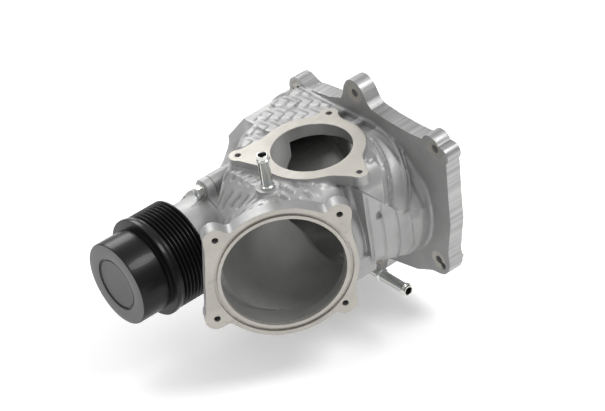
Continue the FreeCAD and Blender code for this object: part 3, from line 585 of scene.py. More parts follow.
def plate_outline(x, z):
    """The rear flange's outline, ears and all."""
    edge = soft_join(outline(x, z, PLATE), np.hypot(x, z) - DRIVE_DISC, 6.0)
    for spot in REAR_EARS[:2] + REAR_EARS[3:]:
        edge = soft_join(edge, np.hypot(x - spot[0], z - spot[1]) - EAR, 9.0)
    for spot, radius in CORNER_LOBES:
        edge = soft_join(edge, np.hypot(x - spot[0], z - spot[1]) - radius, 2.5)
    for spot in LOW_EARS:
        edge = soft_join(edge, np.hypot(x - spot[0], z - spot[1]) - LOW_EAR, 9.0)
    return edge


def cast_outside(x, y, z, sizes):
    """Everything of the casting's outside that keeps its cast skin."""
    fillet = sizes.fillet
    from_axis = np.hypot(x, z)
    bell = (from_axis - np.interp(y, *BELL).astype(x.dtype)) * 0.86
    bell = np.maximum(bell, between(y, NOSE_JOINT, OVERLAP))
    for spot in NOSE_SPOTS:
        bell = soft_join(bell, round_rod(x, z, y, spot, LOBE, NOSE_JOINT, NOSE_JOINT + 30), 5.0)
    core = np.maximum(outline(x, z, CORE), between(y, BODY_FRONT, OVERLAP))
    top = DECK - 0.8 * np.maximum(-y - 128, 0)
    shoulder = soft_meet(outline(x, y, SHOULDER), (z - top) * 0.8, 16.0)
    shoulder = np.maximum(shoulder, 14 - z)
    body = soft_join(bell, core, fillet)
    body = soft_join(body, shoulder, fillet)
    pipe_high = INLET_BORE + sizes.wall
    pipe = duct(x, y, z, INLET_RING - 2.0, INLET_THICK - 4, 45.0, pipe_high, *DUCT_END)
    body = soft_join(body, pipe, 5.0)
    body = soft_join(body, slab((x, y, z), *FACET), 2.0)
    body = body - sizes.relief * shoulder_relief(x, y, z)
    body = soft_join(body, rotor_case(x, y, z, sizes), 4.0)
    body = soft_join(body, capsule((x, y, z), *RIDGE), 3.0)
    web = np.maximum(slab((x, y, z), *WEB), (z - 2 - 0.5 * (y + 100)) * 0.85)
    body = soft_join(body, web, 3.0)
    neck = round_rod(x, y, z, PORT[:2], PORT_LAND - 3, 40, PORT[2] - 2)
    body = soft_join(body, neck, 4.0)
    boss = round_rod(x, y, z, NIPPLE[:2], 2 * NIPPLE_RADIUS, 60, 83.5)
    body = soft_join(body, boss, 3.5)
    side = round_rod(y, z, x, SIDE_TUBE[1:], 2 * SIDE_RADIUS, 70, 99)
    return soft_join(body, side, 3.5)


def flanges(x, y, z):
    """The rear plate, the inlet's flange and the port's land, each with square machined edges."""
    plate = np.maximum(plate_outline(x, z), between(y, -FLANGE, 0))
    across, up, behind = inlet_frame(x, y, z)
    ring = np.hypot(across, up) - INLET_RING
    for one, two in INLET_TAPS:
        lobe = tapered(across, up, (0.72 * one, 0.72 * two), (one, two), 1.5 * LOBE, LOBE)
        ring = soft_join(ring, lobe, 4.0)
    for upper, lower in ((0, 3), (1, 2)):
        side = tapered(across, up, INLET_TAPS[upper], INLET_TAPS[lower], LOBE - 0.5, LOBE - 0.5)
        ring = soft_join(ring, side, 4.0)
    ring = np.maximum(ring, between(behind, 0, INLET_THICK))
    from_x, from_y = x - PORT[0], y - PORT[1]
    land = np.hypot(from_x, from_y) - PORT_LAND
    for one, two in PORT_TAPS:
        ear = tapered(from_x, from_y, (0.45 * one, 0.45 * two), (one, two), 27.0, LOBE - 1.5)
        land = soft_join(land, ear, 3.0)
    land = np.maximum(land, between(z, PORT[2] - PORT_THICK, PORT[2]))
    return plate, ring, land


def hollow(x, y, z, wall):
    """The ducts and chambers inside, less the shaft's tunnel, an ear's wall and two struts."""
    inner = duct(x, y, z, INLET_BORE - 0.1, INLET_THICK, 39.0, INLET_BORE - 2.0, *DUCT_END)
    across, up = x - ROTOR[0], z - ROTOR[1]
    room = np.hypot(across, up) - ROTOR_CASE + wall - 0.5 + lower_taper(across, up, y)
    room = np.maximum(room, between(y, BODY_FRONT + wall, 1))
    inner = soft_join(inner, room, 9.0)
    core = np.maximum(outline(x, z, CORE) + wall, between(y, BODY_FRONT + wall, -wall))
    inner = soft_join(inner, core, 4.0)
    bell = (np.hypot(x, z) - np.interp(y, *BELL).astype(x.dtype)) * 0.86 + wall
    bell = np.maximum(bell, between(y, -86, -wall))
    inner = soft_join(inner, bell, 4.0)
    shaft_tunnel = round_rod(x, z, y, (0, 0), TUNNEL, NOSE_JOINT + 10, 0)
    inner = soft_meet(inner, -shaft_tunnel, 3.0)
    ear_wall = round_rod(x, z, y, REAR_EARS[0], SPOT_FACE + wall, -40 - wall, -wall)
    inner = soft_meet(inner, -ear_wall, 2.0)
    struts = [slab((x, y, z), *corners) for corners in STRUTS]
    return np.maximum(inner, -np.minimum(*struts))


def bores(x, y, z):
    """Every machined hole and seat of the housing."""
    across, up, behind = inlet_frame(x, y, z)
    from_inlet = np.hypot(across, up)
    cuts = np.maximum(from_inlet - INLET_BORE, between(behind, -1, 20))
    seat = np.maximum(between(from_inlet, *INLET_GROOVE), between(behind, -1, GROOVE_DEEP))
    cuts = np.minimum(cuts, seat)
    for spot in INLET_TAPS:
        cuts = np.minimum(cuts, round_rod(across, up, behind, spot, TAP, -1, TAP_DEEP))
    from_x, from_y = x - PORT[0], y - PORT[1]
    cuts = np.minimum(cuts, round_rod(x, y, z, PORT[:2], PORT_BORE, 22, 90))
    for spot in PORT_TAPS:
        cuts = np.minimum(cuts, round_rod(from_x, from_y, z, spot, TAP, PORT[2] - 10, 90))
    for spot in REAR_EARS + LOW_EARS:
        cuts = np.minimum(cuts, round_rod(x, z, y, spot, BOLT_HOLE, -40, 1))
        cuts = np.minimum(cuts, round_rod(x, z, y, spot, SPOT_FACE, -40, SPOT_DEEP - FLANGE))
    for spot in REAR_DOWELS:
        cuts = np.minimum(cuts, round_rod(x, z, y, spot, DOWEL, -15, 1))
    for radius, low, high in (
        (RACE - 3, NOSE_JOINT - 1, 1), (RACE, REAR_RACE[0], 1),
        (RACE + CLIP_GROOVE, REAR_RACE[1], REAR_RACE[1] + CLIP_WIDE),
        (COUPLING_ROOM, -10, 1), (SPIGOT, NOSE_JOINT - 1, NOSE_JOINT + SPIGOT_DEEP),
    ):
        cuts = np.minimum(cuts, round_rod(x, z, y, (0, 0), radius, low, high))
    for spot in NOSE_SPOTS:
        cuts = np.minimum(cuts, round_rod(x, z, y, spot, BOLT_RADIUS, NOSE_JOINT - 1, NOSE_JOINT + 18))
    cuts = np.minimum(cuts, round_rod(x, y, z, NIPPLE[:2], NIPPLE_RADIUS, 44, 84))
    cuts = np.minimum(cuts, round_rod(y, z, x, SIDE_TUBE[1:], SIDE_RADIUS, 56, 126))
    return np.minimum(cuts, round_rod(y, z, x, SIDE_TUBE[1:], 6.2, 119, 149))


def deck_pockets(x, y, z):
    """Two cast pockets in the deck, in front of the rear flange's tall ear."""
    return np.minimum(*[slab((x, y, z), *corners) for corners in DECK_POCKETS])


def housing_field(sizes):
    """The whole casting as one distance field."""
    def field(x, y, z):
        body = cast_outside(x, y, z, sizes)
        body = soft_meet(body, -deck_pockets(x, y, z), 2.0)
        above_port = np.hypot(x - PORT[0], y - PORT[1]) - 62
        above_port = np.maximum(np.maximum(above_port, PORT[2] - 0.8 - z), y + 15)
        body = np.maximum(body, -above_port)
        plate, ring, land = flanges(x, y, z)
        body = soft_join(body, plate, 3.0)
        body = soft_join(body, ring, 2.5)
        body = soft_join(body, land, 2.0)
        body = np.maximum(body, -hollow(x, y, z, sizes.wall))
        return np.maximum(body, -bores(x, y, z))
    return field


# ---- nose, bolts and turned pieces ----

NOSE_BARREL = 32.5
NOSE_FRONT = -178.0
NOSE_FLANGE = 8.0
FRONT_RACE = -164.0
RACE_WIDE = 12.0
O_RING = 1.3
NOSE_RIBS = 6
RIB_HALF = 1.6


def nose_field(x, y, z):
    """The bearing carrier: a barrel, a flange with three ears, and a spigot."""
    from_axis = np.hypot(x, z)
    flange_front = NOSE_JOINT - NOSE_FLANGE
    barrel = np.maximum(from_axis - NOSE_BARREL, between(y, NOSE_FRONT, NOSE_JOINT))
    edge = (from_axis - NOSE_BARREL + 1.2 + (NOSE_FRONT - y)) * 0.707
    barrel = np.maximum(barrel, edge)
    flange = from_axis - NOSE_BOSS
    for spot in NOSE_SPOTS:
        flange = soft_join(flange, np.hypot(x - spot[0], z - spot[1]) - LOBE, 6.0)
    flange = soft_meet(flange, between(y, flange_front, NOSE_JOINT), 1.2)
    nose = soft_join(barrel, flange, 3.0)
    for turn in range(NOSE_RIBS):
        angle = math.radians(30 + 360 / NOSE_RIBS * turn)
        lean = x * math.cos(angle) + z * math.sin(angle)
        aside = np.abs(-x * math.sin(angle) + z * math.cos(angle)) - RIB_HALF
        slant = (from_axis - NOSE_BOSS - (y - flange_front) * 0.28) * 0.9
        rib = np.maximum(np.maximum(aside, -lean), slant)
        rib = np.maximum(rib, between(y, flange_front - 14, flange_front + 1))
        nose = soft_join(nose, rib, 2.0)
    nose = np.maximum(nose, y - NOSE_JOINT)
    spigot = round_rod(x, z, y, (0, 0), SPIGOT - 0.02, NOSE_JOINT - 2, NOSE_JOINT + SPIGOT_DEEP - 0.5)
    ring_start = NOSE_JOINT + 2
    groove = between(y, ring_start, ring_start + 2.4 * O_RING)
    groove = np.maximum(SPIGOT - 2 * O_RING - from_axis, groove)
    nose = np.minimum(nose, np.maximum(spigot, -groove))
    for radius, low, high in (
        (RACE - 3, NOSE_FRONT - 1, 0), (RACE, NOSE_FRONT - 1, FRONT_RACE + RACE_WIDE),
        (RACE + CLIP_GROOVE, FRONT_RACE - CLIP_WIDE, FRONT_RACE),
    ):
        nose = np.maximum(nose, -round_rod(x, z, y, (0, 0), radius, low, high))
    for spot in NOSE_SPOTS:
        nose = np.maximum(nose, -round_rod(x, z, y, spot, BOLT_RADIUS + 0.3, NOSE_FRONT, 0))
    return nose


def bolt_field(centre):
    """A hexagon bolt with a chamfered round collar, a dished head and a plain shank."""
    def field(x, y, z):
        across, up = x - centre[0], z - centre[1]
        from_axis = np.hypot(across, up)
        seat = NOSE_JOINT - NOSE_FLANGE
        top = seat - 2 * BOLT_RADIUS
        head = between(y, top, seat - 0.4)
        for turn in range(3):
            angle = math.radians(30 + 60 * turn)
            flat = np.abs(across * math.cos(angle) + up * math.sin(angle)) - 1.56 * BOLT_RADIUS
            head = np.maximum(head, flat)
        crown = (from_axis - 1.62 * BOLT_RADIUS + (top - y) * 1.7) * 0.5
        head = np.maximum(head, crown)
        dish = np.hypot(from_axis, y - top + 5.6) - 6.2
        head = np.maximum(head, -dish)
        collar = np.maximum(between(y, seat - 1.5, seat), from_axis - 2 * BOLT_RADIUS)
        collar = np.maximum(collar, (from_axis - 1.85 * BOLT_RADIUS + (seat - 1.5 - y) * 1.2) * 0.6)
        shank = np.maximum(from_axis - BOLT_RADIUS, between(y, seat - 1, NOSE_JOINT + 16))
        return np.minimum(soft_join(head, collar, 0.5), shank)
    return field


def rounded(points, edge, steps=3):
    """A closed section with each corner turned into a short arc; a third value sets its own edge."""
    result = []
    count = len(points)
    for index, point in enumerate(points):
        spot = Vector(point[:2])
        before = Vector(points[index - 1][:2]) - spot
        after = Vector(points[(index + 1) % count][:2]) - spot
        size = point[2] if len(point) > 2 else edge
        size = min(size, 0.45 * before.length, 0.45 * after.length)
        if size < 0.02:
            result.append(spot)
            continue
        first, last = spot + before.normalized() * size, spot + after.normalized() * size
        for step in range(steps + 1):
            share = step / steps
            bow = first.lerp(spot, share).lerp(spot.lerp(last, share), share)
            result.append(bow)
    return result


def turned_mesh(name, points, edge=0.5, around=160, origin=(0, 0, 0), axis="Y"):
    """A section of (radius, along) spun about an axis; the section runs round the solid's edge."""
    section = rounded(points, edge)
    places, faces = [], []
    order = {"X": (1, 2, 0), "Y": (0, 2, 1), "Z": (0, 1, 2)}[axis]
    for radius, along in section:
        for turn in range(around):
            angle = 2 * math.pi * turn / around
            local = (radius * math.cos(angle), radius * math.sin(angle), along)
            place = [0, 0, 0]
            for value, slot in zip(local, order):
                place[slot] = value
            places.append([(value + start) * MM for value, start in zip(place, origin)])
    count = len(section)
    for ring in range(count):
        after = (ring + 1) % count
        for turn in range(around):
            beside = (turn + 1) % around
            faces.append((
                ring * around + turn, ring * around + beside, after * around + beside, after * around + turn,
            ))
    mesh = bpy.data.meshes.new(name)
    work = bmesh.new()
    corners = [work.verts.new(place) for place in places]
    for face in faces:
        work.faces.new([corners[number] for number in face])
    bmesh.ops.remove_doubles(work, verts=work.verts, dist=0.004 * MM)
    bmesh.ops.recalc_face_normals(work, faces=work.faces)
    work.to_mesh(mesh)
    work.free()
    return mesh


HUB_LONG = 29.0
RING_THICK = 6.0
SHAFT = 10.0
NUT_ROOM = 18.0
NUT_DEEP = 26.0
CAP_SEAT = 23.0
CAP_DEEP = 4.0
CUP = 34.0
CUP_DEEP = 19.5
SLEEVE = 14.0
SLEEVE_END = -179.0


def pulley_section(sizes, low, high):
    """The pulley's section: hub, ring, belt grooves, and the cup that overhangs the nose."""
    front, back = low[1], high[1]
    hub_end = front + HUB_LONG
    rim = hub_end + RING_THICK
    first = rim + 0.5 * (back - rim - sizes.grooves * sizes.pitch)
    points = [
        (SHAFT, front + NUT_DEEP, 0.3), (NUT_ROOM, front + NUT_DEEP, 0.5),
        (NUT_ROOM, front + CAP_DEEP, 0.3), (CAP_SEAT, front + CAP_DEEP, 0.3), (CAP_SEAT, front, 0.35),
        (sizes.hub, front, sizes.edge + 0.6),
        (sizes.hub, hub_end - 3.0, 0.3), (sizes.hub - 0.7, hub_end - 2.2, 0.3),
        (sizes.hub - 0.7, hub_end, 0.6), (sizes.ring, hub_end, sizes.edge),
        (sizes.ring, rim - 2.4, sizes.edge), (sizes.rib, rim, 0.4),
    ]
    root = sizes.rib - sizes.groove
    for number in range(sizes.grooves):
        start = first + number * sizes.pitch
        middle = start + 0.5 * sizes.pitch
        points += [
            (sizes.rib, start + 0.25, 0.22), (root, middle - 0.35, 0.25), (root, middle + 0.35, 0.25),
            (sizes.rib, start + sizes.pitch - 0.25, 0.22),
        ]
    points += [
        (sizes.rib, back, sizes.edge), (CUP, back, sizes.edge), (CUP, back - CUP_DEEP, 1.5),
        (SLEEVE, back - CUP_DEEP, 1.0), (SLEEVE, SLEEVE_END, 0.3), (SHAFT, SLEEVE_END, 0.3),
    ]
    return points


def cap_section(low, high):
    """The closing disc: a shallow dished centre inside a fine ring groove."""
    front, back = low[1], high[1]
    rim = CAP_SEAT - 0.04
    return [
        (0.0, front + 0.9, 0.0), (17.0, front + 0.75, 0.4), (20.9, front + 0.5, 0.2),
        (21.4, front + 1.3, 0.15), (22.0, front + 1.3, 0.15), (22.3, front + 0.3, 0.15),
        (rim, front + 0.45, 0.1), (rim, back, 0.2), (0.0, back, 0.0),
    ]


def tube_section(low, high, tube, bore, bead, beads):
    """A hose tube: low to high along its axis, with rolled beads of given place, half width and share."""
    outer = [(bore, low, 0.3), (tube, low, 0.5)]
    for place, half, share in beads:
        top = tube + share * (bead - tube)
        outer += [
            (tube, place - half, 0.3), (top, place - 0.45 * half, 0.4),
            (top, place + 0.45 * half, 0.4), (tube, place + half, 0.3),
        ]
    return outer + [(tube, high, 0.9), (bore + 0.25, high, 0.2), (bore, high - 1.0, 0.3)]


# ---- finishes ----

class Wire:
    """A value socket whose arithmetic adds Math nodes."""

    def __init__(self, finish, socket):
        self.finish = finish
        self.socket = socket

    def _math(self, operation, first, second):
        return self.finish.node("ShaderNodeMath", {"operation": operation}, {0: first, 1: second})

    def __add__(self, other):
        return self._math("ADD", self, other)

    __radd__ = __add__

    def __sub__(self, other):
        return self._math("SUBTRACT", self, other)

    def __rsub__(self, other):
        return self._math("SUBTRACT", other, self)

    def __mul__(self, other):
        return self._math("MULTIPLY", self, other)

    __rmul__ = __mul__


class Nodes:
    """A node tree, emptied, to which one method adds any node."""

    def __init__(self, tree):
        self.tree = tree
        self.tree.nodes.clear()

    def node(self, kind, settings=None, inputs=None, out=0):
        """Adds a node: its settings first, then its sockets' values or links."""
        made = self.tree.nodes.new(kind)
        for key, setting in (settings or {}).items():
            if key == "stops":
                for stop, (position, colour) in zip(self._stops(made, len(setting)), setting):
                    stop.position = position
                    stop.color = colour
            else:
                setattr(made, key, setting)
        for key, given in (inputs or {}).items():
            socket = self._socket(made.inputs, key)
            if isinstance(given, Wire):
                self.tree.links.new(given.socket, socket)
            else:
                socket.default_value = given
        return Wire(self, self._socket(made.outputs, out)) if made.outputs else None

    @staticmethod
    def _stops(made, count):
        elements = made.color_ramp.elements
        while len(elements) < count:
            elements.new(0.5)
        return elements

    @staticmethod
    def _socket(sockets, key):
        if isinstance(key, int):
            return sockets[key]
        return next(socket for socket in sockets if key in (socket.identifier, socket.name))


class Finish(Nodes):
    """A node material on object space, which shader() closes."""

    def __init__(self, name):
        self.material = bpy.data.materials.new(name)
        self.material.use_nodes = True
        super().__init__(self.material.node_tree)
        self.place = self.node("ShaderNodeTexCoord", out="Object")

    def noise(self, scale, detail=4.0, roughness=0.55, place=None):
        inputs = {"Vector": place or self.place, "Scale": scale, "Detail": detail, "Roughness": roughness}
        return self.node("ShaderNodeTexNoise", {"noise_dimensions": "3D"}, inputs)

    def stretched(self, x, y, z):
        """Object space with each axis scaled, for grain that runs one way."""
        return self.node("ShaderNodeMapping", {}, {"Vector": self.place, "Scale": (x, y, z)})

    def mix(self, factor, first, second):
        inputs = {"Factor_Float": factor, "A_Color": first, "B_Color": second}
        return self.node("ShaderNodeMix", {"data_type": "RGBA"}, inputs, out="Result_Color")

    def clamp(self, value, low, high):
        inputs = {"Value": value, 1: low, 2: high, 3: 0.0, 4: 1.0}
        return self.node("ShaderNodeMapRange", {"clamp": True}, inputs)

    def bump(self, height, strength, distance):
        inputs = {"Strength": strength, "Distance": distance, "Height": height}
        return self.node("ShaderNodeBump", {}, inputs, out="Normal")

    def shader(self, **inputs):
        named = {key.replace("_", " "): given for key, given in inputs.items()}
        surface = self.node("ShaderNodeBsdfPrincipled", {}, named, out="BSDF")
        self.node("ShaderNodeOutputMaterial", {}, {"Surface": surface})
        return self.material


def rgba(colour, gain=1.0):
    """A colour, made brighter or darker, with full alpha."""
    return tuple(min(1.0, gain * value) for value in colour) + (1.0,)


def cast_metal(name, colour, rough, metallic=0.6):
    """Blasted cast aluminium: fine grain, soft mottling and a few small pits."""
    finish = Finish(name)
    fine = finish.noise(1500.0, 2.0)
    coarse = finish.noise(220.0, 3.0)
    mottle = finish.clamp(finish.noise(26.0, 5.0, 0.6), 0.32, 0.7)
    cell = finish.node(
        "ShaderNodeTexVoronoi", {"feature": "F1"}, {"Vector": finish.place, "Scale": 330.0}, out="Distance",
    )
    pit = 1 - finish.clamp(cell, 0.02, 0.13)
    tone = finish.mix(mottle * 0.7 + coarse * 0.3, rgba(colour, 0.80), rgba(colour, 1.10))
    tone = finish.mix(pit * 0.35, tone, rgba(colour, 0.45))
    height = fine * 0.5 + coarse * 0.9 - pit * 0.5
    return finish.shader(
        Base_Color=tone, Metallic=metallic, Roughness=rough + (coarse - 0.5) * 0.18,
        Normal=finish.bump(height, 0.55, 0.00022),
    )


def milled_metal(name, colour, rough, centre, rings_about):
    """A milled face: fine cutter arcs round a centre, with faint handling marks."""
    finish = Finish(name)
    offset = tuple(-value for value in centre)
    place = finish.node("ShaderNodeMapping", {}, {"Vector": finish.place, "Location": offset})
    rings = finish.node(
        "ShaderNodeTexWave", {"wave_type": "RINGS", "rings_direction": rings_about},
        {"Vector": place, "Scale": 420.0, "Distortion": 1.2, "Detail": 2.0, "Detail Scale": 2.0},
        out="Fac",
    )
    mottle = finish.clamp(finish.noise(40.0, 5.0, 0.6), 0.3, 0.72)
    scuff = finish.clamp(finish.noise(300.0, 3.0, 0.7, finish.stretched(1, 0.08, 1)), 0.58, 0.7)
    tone = finish.mix(mottle, rgba(colour, 0.88), rgba(colour, 1.06))
    tone = finish.mix(scuff * 0.25, tone, rgba(colour, 0.7))
    return finish.shader(
        Base_Color=tone, Metallic=0.8, Roughness=rough + rings * 0.10 + scuff * 0.12,
        Normal=finish.bump(rings * 0.5 + scuff * 0.3, 0.18, 0.00008),
    )


def side_milled(name, colour, rough):
    """The plate's edge, cut by a cutter's side: bands across the thickness, straight and grey."""
    finish = Finish(name)
    bands = finish.noise(260.0, 3.0, 0.6, finish.stretched(1, 0.03, 1))
    cloud = finish.clamp(finish.noise(90.0, 4.0, 0.6), 0.3, 0.7)
    tone = finish.mix(finish.clamp(bands, 0.35, 0.65), rgba(colour, 0.78), rgba(colour, 1.12))
    return finish.shader(
        Base_Color=tone, Metallic=0.8, Roughness=rough + cloud * 0.12, Normal=finish.bump(bands, 0.4, 0.0003),
    )


def turned_metal(name, colour, rough, metallic=1.0):
    """A part turned on a lathe: fine rings along the drive axis and light wear."""
    finish = Finish(name)
    rings = finish.noise(1600.0, 2.0, 0.5, finish.stretched(0.02, 1, 0.02))
    mottle = finish.clamp(finish.noise(60.0, 4.0, 0.6), 0.3, 0.7)
    tone = finish.mix(mottle, rgba(colour, 0.86), rgba(colour, 1.08))
    return finish.shader(
        Base_Color=tone, Metallic=metallic, Roughness=rough + (rings - 0.5) * 0.12 + mottle * 0.05,
        Normal=finish.bump(rings, 0.35, 0.00004),
    )


def plated_metal(name, colour, rough):
    """Bright zinc: cool and warm clouds over a smooth skin with fine draw lines."""
    finish = Finish(name)
    cloud = finish.clamp(finish.noise(150.0, 3.0, 0.6), 0.35, 0.65)
    lines = finish.noise(900.0, 2.0, 0.5, finish.stretched(1, 1, 0.05))
    tone = finish.mix(cloud, rgba(colour), (colour[0] * 1.04, colour[1] * 0.99, colour[2] * 0.88, 1))
    return finish.shader(
        Base_Color=tone, Metallic=1.0, Roughness=rough + lines * 0.12,
        Normal=finish.bump(lines, 0.2, 0.00004),
    )


def black_gloss(name, colour):
    """A hard black coat over turned metal, with a faint orange peel and fine dust."""
    finish = Finish(name)
    peel = finish.noise(500.0, 2.0)
    dust = finish.clamp(finish.noise(1900.0, 2.0, 0.6), 0.62, 0.75)
    tone = finish.mix(dust * 0.05, rgba(colour), (0.12, 0.12, 0.12, 1))
    return finish.shader(
        Base_Color=tone, Metallic=0.0, Roughness=0.30 + peel * 0.10 + dust * 0.05, Coat_Weight=0.1,
        Specular_IOR_Level=0.2, Normal=finish.bump(peel, 0.06, 0.0001),
    )


def moulded(name, colour, rough, scale=700.0):
    """Rubber or nylon with a fine moulded grain."""
    finish = Finish(name)
    grain = finish.noise(scale, 4.0, 0.65)
    tone = finish.mix(finish.clamp(grain, 0.3, 0.7), rgba(colour, 0.8), rgba(colour, 1.2))
    return finish.shader(
        Base_Color=tone, Roughness=rough + (grain - 0.5) * 0.2, Normal=finish.bump(grain, 0.4, 0.00008),
    )


# ---- operators: one for each piece or group of like pieces ----

def spread_floats(group):
    """The group's lengths in millimetres, and its counts, as plain values."""
    values = {}
    for key in type(group).__annotations__:
        value = getattr(group, key)
        values[key] = value / MM if isinstance(value, float) else value
    return SimpleNamespace(**values)


def finish_piece(obj, body, slot, materials, *nodes):
    """Gives a piece its finishes and its body, and hides the nodes that it stands for; its slot is not used.
    """
    for material in materials:
        obj.data.materials.append(material)
    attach(obj, body)
    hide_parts(*nodes)


def give_node(node, material):
    """A finish for a CAD node that keeps its own shape."""
    for slot in frame["nodes"][node].material_slots:
        slot.material = material


CAST_SKIN, MILLED, INNER_SKIN_PAINTED_SHADE, MILLED_PORT, PLATE_EDGE = range(5)
NEAR = 0.35          # how close to a machined plane a face's centre lies, in millimetres


class HousingOperator(bpy.types.Operator):
    """Builds the cast inlet housing"""
    bl_idname = "drive_housing.housing"
    bl_label = "Inlet housing"

    def execute(self, context):
        sizes = spread_floats(context.scene.casting_sizes)
        colours = context.scene.finish_colours
        field = housing_field(sizes)
        low, high = box_mm("inlet_housing")
        housing = add_object("housing_casting", mesh_field("housing_casting", field, low, high, sizes.step))
        thin_out(housing, sizes.triangles)
        shade(housing)
        self.name_faces(housing.data, sizes.wall)
        finish_piece(housing, "housing", "cast_aluminium", [
            cast_metal("cast_skin", colours.cast, 0.50),
            milled_metal("milled_face", colours.machined, 0.42, tuple(INLET * MM), "SPHERICAL"),
            # The inner skin's darker colour is painted shade on the ducts' insides.
            cast_metal("inner_skin", colours.inner, 0.55),
            milled_metal("milled_port", colours.machined, 0.40, tuple(PORT * MM), "Z"),
            side_milled("side_milled", colours.cast, 0.36),
        ], "inlet_housing")
        return {"FINISHED"}

    @staticmethod
    def name_faces(mesh, wall):
        """Milled lands, bores and seats get the milled finish, and the ducts the inner skin, whose darker
        colour is painted shade.
        """
        x, y, z = face_centres(mesh).T
        along_drive = face_normals(mesh)[:, 1]
        across, up, behind = inlet_frame(x, y, z)
        from_inlet = np.hypot(across, up)
        from_axis = np.hypot(x, z)
        from_port = np.hypot(x - PORT[0], y - PORT[1])
        inner_inlet = (behind > 0.5) & (from_inlet < INLET_BORE + 1) & (behind < 22)
        inner_port = (from_port < PORT_BORE + 1) & (z < PORT[2] - 0.5) & (z > 20)
        inside = (np.abs(hollow(x, y, z, wall)) < 0.8) | inner_inlet | inner_port
        index = np.full(len(x), CAST_SKIN, np.int32)
        # Faces inside the ducts take the darker inner skin: painted shade.
        index[inside & (y < -1)] = INNER_SKIN_PAINTED_SHADE
        index[inner_inlet & (behind < 3.5)] = MILLED
        index[(np.abs(behind) < NEAR) & (from_inlet > INLET_BORE - 1)] = MILLED
        seat = (behind > -1) & (behind < GROOVE_DEEP + NEAR)
        index[seat & (from_inlet > INLET_GROOVE[0] - 1.2) & (from_inlet < INLET_GROOVE[1] + 1)] = MILLED
        index[inner_port & (z > PORT[2] - 1.5)] = MILLED_PORT
        land = flanges(x, y, z)[2]
        index[(np.abs(z - PORT[2]) < NEAR) & (np.abs(land) < 0.5)] = MILLED_PORT
        flange_edge = np.abs(plate_outline(x, z)) < 0.6
        index[flange_edge & (y > 0.5 - FLANGE) & (np.abs(along_drive) < 0.3)] = PLATE_EDGE
        index[y > -NEAR] = MILLED
        for spot in REAR_EARS + LOW_EARS:
            spot_face = np.hypot(x - spot[0], z - spot[1]) < SPOT_FACE + 0.2
            index[spot_face & (np.abs(y + FLANGE - SPOT_DEEP) < 0.5)] = MILLED
        joint = (np.abs(y - NOSE_JOINT) < NEAR) & (along_drive < -0.9)
        index[joint & (from_axis < NOSE_PITCH_RADIUS + LOBE)] = MILLED
        index[(from_axis < COUPLING_ROOM + 0.5) & (from_axis > 15)] = MILLED
        mesh.polygons.foreach_set("material_index", index)
        mesh.update()


class NoseOperator(bpy.types.Operator):
    """Builds the bearing carrier"""
    bl_idname = "drive_housing.nose"
    bl_label = "Drive nose"

    def execute(self, context):
        low, high = box_mm("drive_nose")
        mesh = mesh_field("nose_carrier", nose_field, low, high, 0.9)
        nose = add_object("nose_carrier", mesh)
        thin_out(nose, 90000)
        shade(nose)
        bright = tuple(1.2 * value for value in context.scene.finish_colours.cast)
        skin = cast_metal("nose_skin", bright, 0.5, 0.4)
        finish_piece(nose, "housing", "nose_aluminium", [skin], "drive_nose")
        return {"FINISHED"}


class BoltsOperator(bpy.types.Operator):
    """Builds the nose's flange bolts"""
    bl_idname = "drive_housing.bolts"
    bl_label = "Nose bolts"

    def execute(self, context):
        zinc = plated_metal("bolt_zinc", context.scene.finish_colours.zinc, 0.24)
        low, high = box_mm("nose_bolts")
        reach = np.array([6.5, 0, 6.5])
        for number, centre in enumerate(NOSE_SPOTS):
            middle = np.array([centre[0], 0, centre[1]])
            start, end = middle - reach, middle + reach
            start[1], end[1] = low[1], high[1]
            name = "nose_bolt_%d" % (number + 1)
            bolt = add_object(name, mesh_field(name, bolt_field(centre), start, end, 0.4))
            thin_out(bolt, 12000)
            shade(bolt)
            finish_piece(bolt, "housing", "plated_steel", [zinc], "nose_bolts")
        return {"FINISHED"}


class PulleyOperator(bpy.types.Operator):
    """Builds the belt pulley and its cap"""
    bl_idname = "drive_housing.pulley"
    bl_label = "Belt pulley"

    def execute(self, context):
        sizes = spread_floats(context.scene.drive_sizes)
        colours = context.scene.finish_colours
        low, high = box_mm("belt_pulley")
        mesh = turned_mesh("pulley_body", pulley_section(sizes, low, high), 0.5, 192)
        pulley = add_object("pulley_body", mesh)
        shade(pulley, 28)
        y = face_centres(mesh)[:, 1]
        mesh.polygons.foreach_set("material_index", (y < low[1] + 0.3).astype(np.int32))
        finish_piece(pulley, "drive", "black_pulley", [
            black_gloss("pulley_black", colours.pulley),
            turned_metal("pulley_front", colours.face, 0.38, 0.5),
        ], "belt_pulley")
        low, high = box_mm("pulley_cap")
        cap = add_object("pulley_disc", turned_mesh("pulley_disc", cap_section(low, high), 0.2, 160))
        shade(cap, 28)
        face = turned_metal("disc_face", tuple(0.5 * value for value in colours.face), 0.36, 0.3)
        finish_piece(cap, "drive", "pulley_face", [face], "pulley_cap")
        return {"FINISHED"}


NIPPLE_BORE = 3.4
SIDE_BORE = 3.2
BEAD_RADIUS = 5.9
NIPPLE_COLLAR = 84.2         # height of the nipple's collar, just above its boss
SIDE_COLLAR = 33.0           # from the side tube's end back to its collar


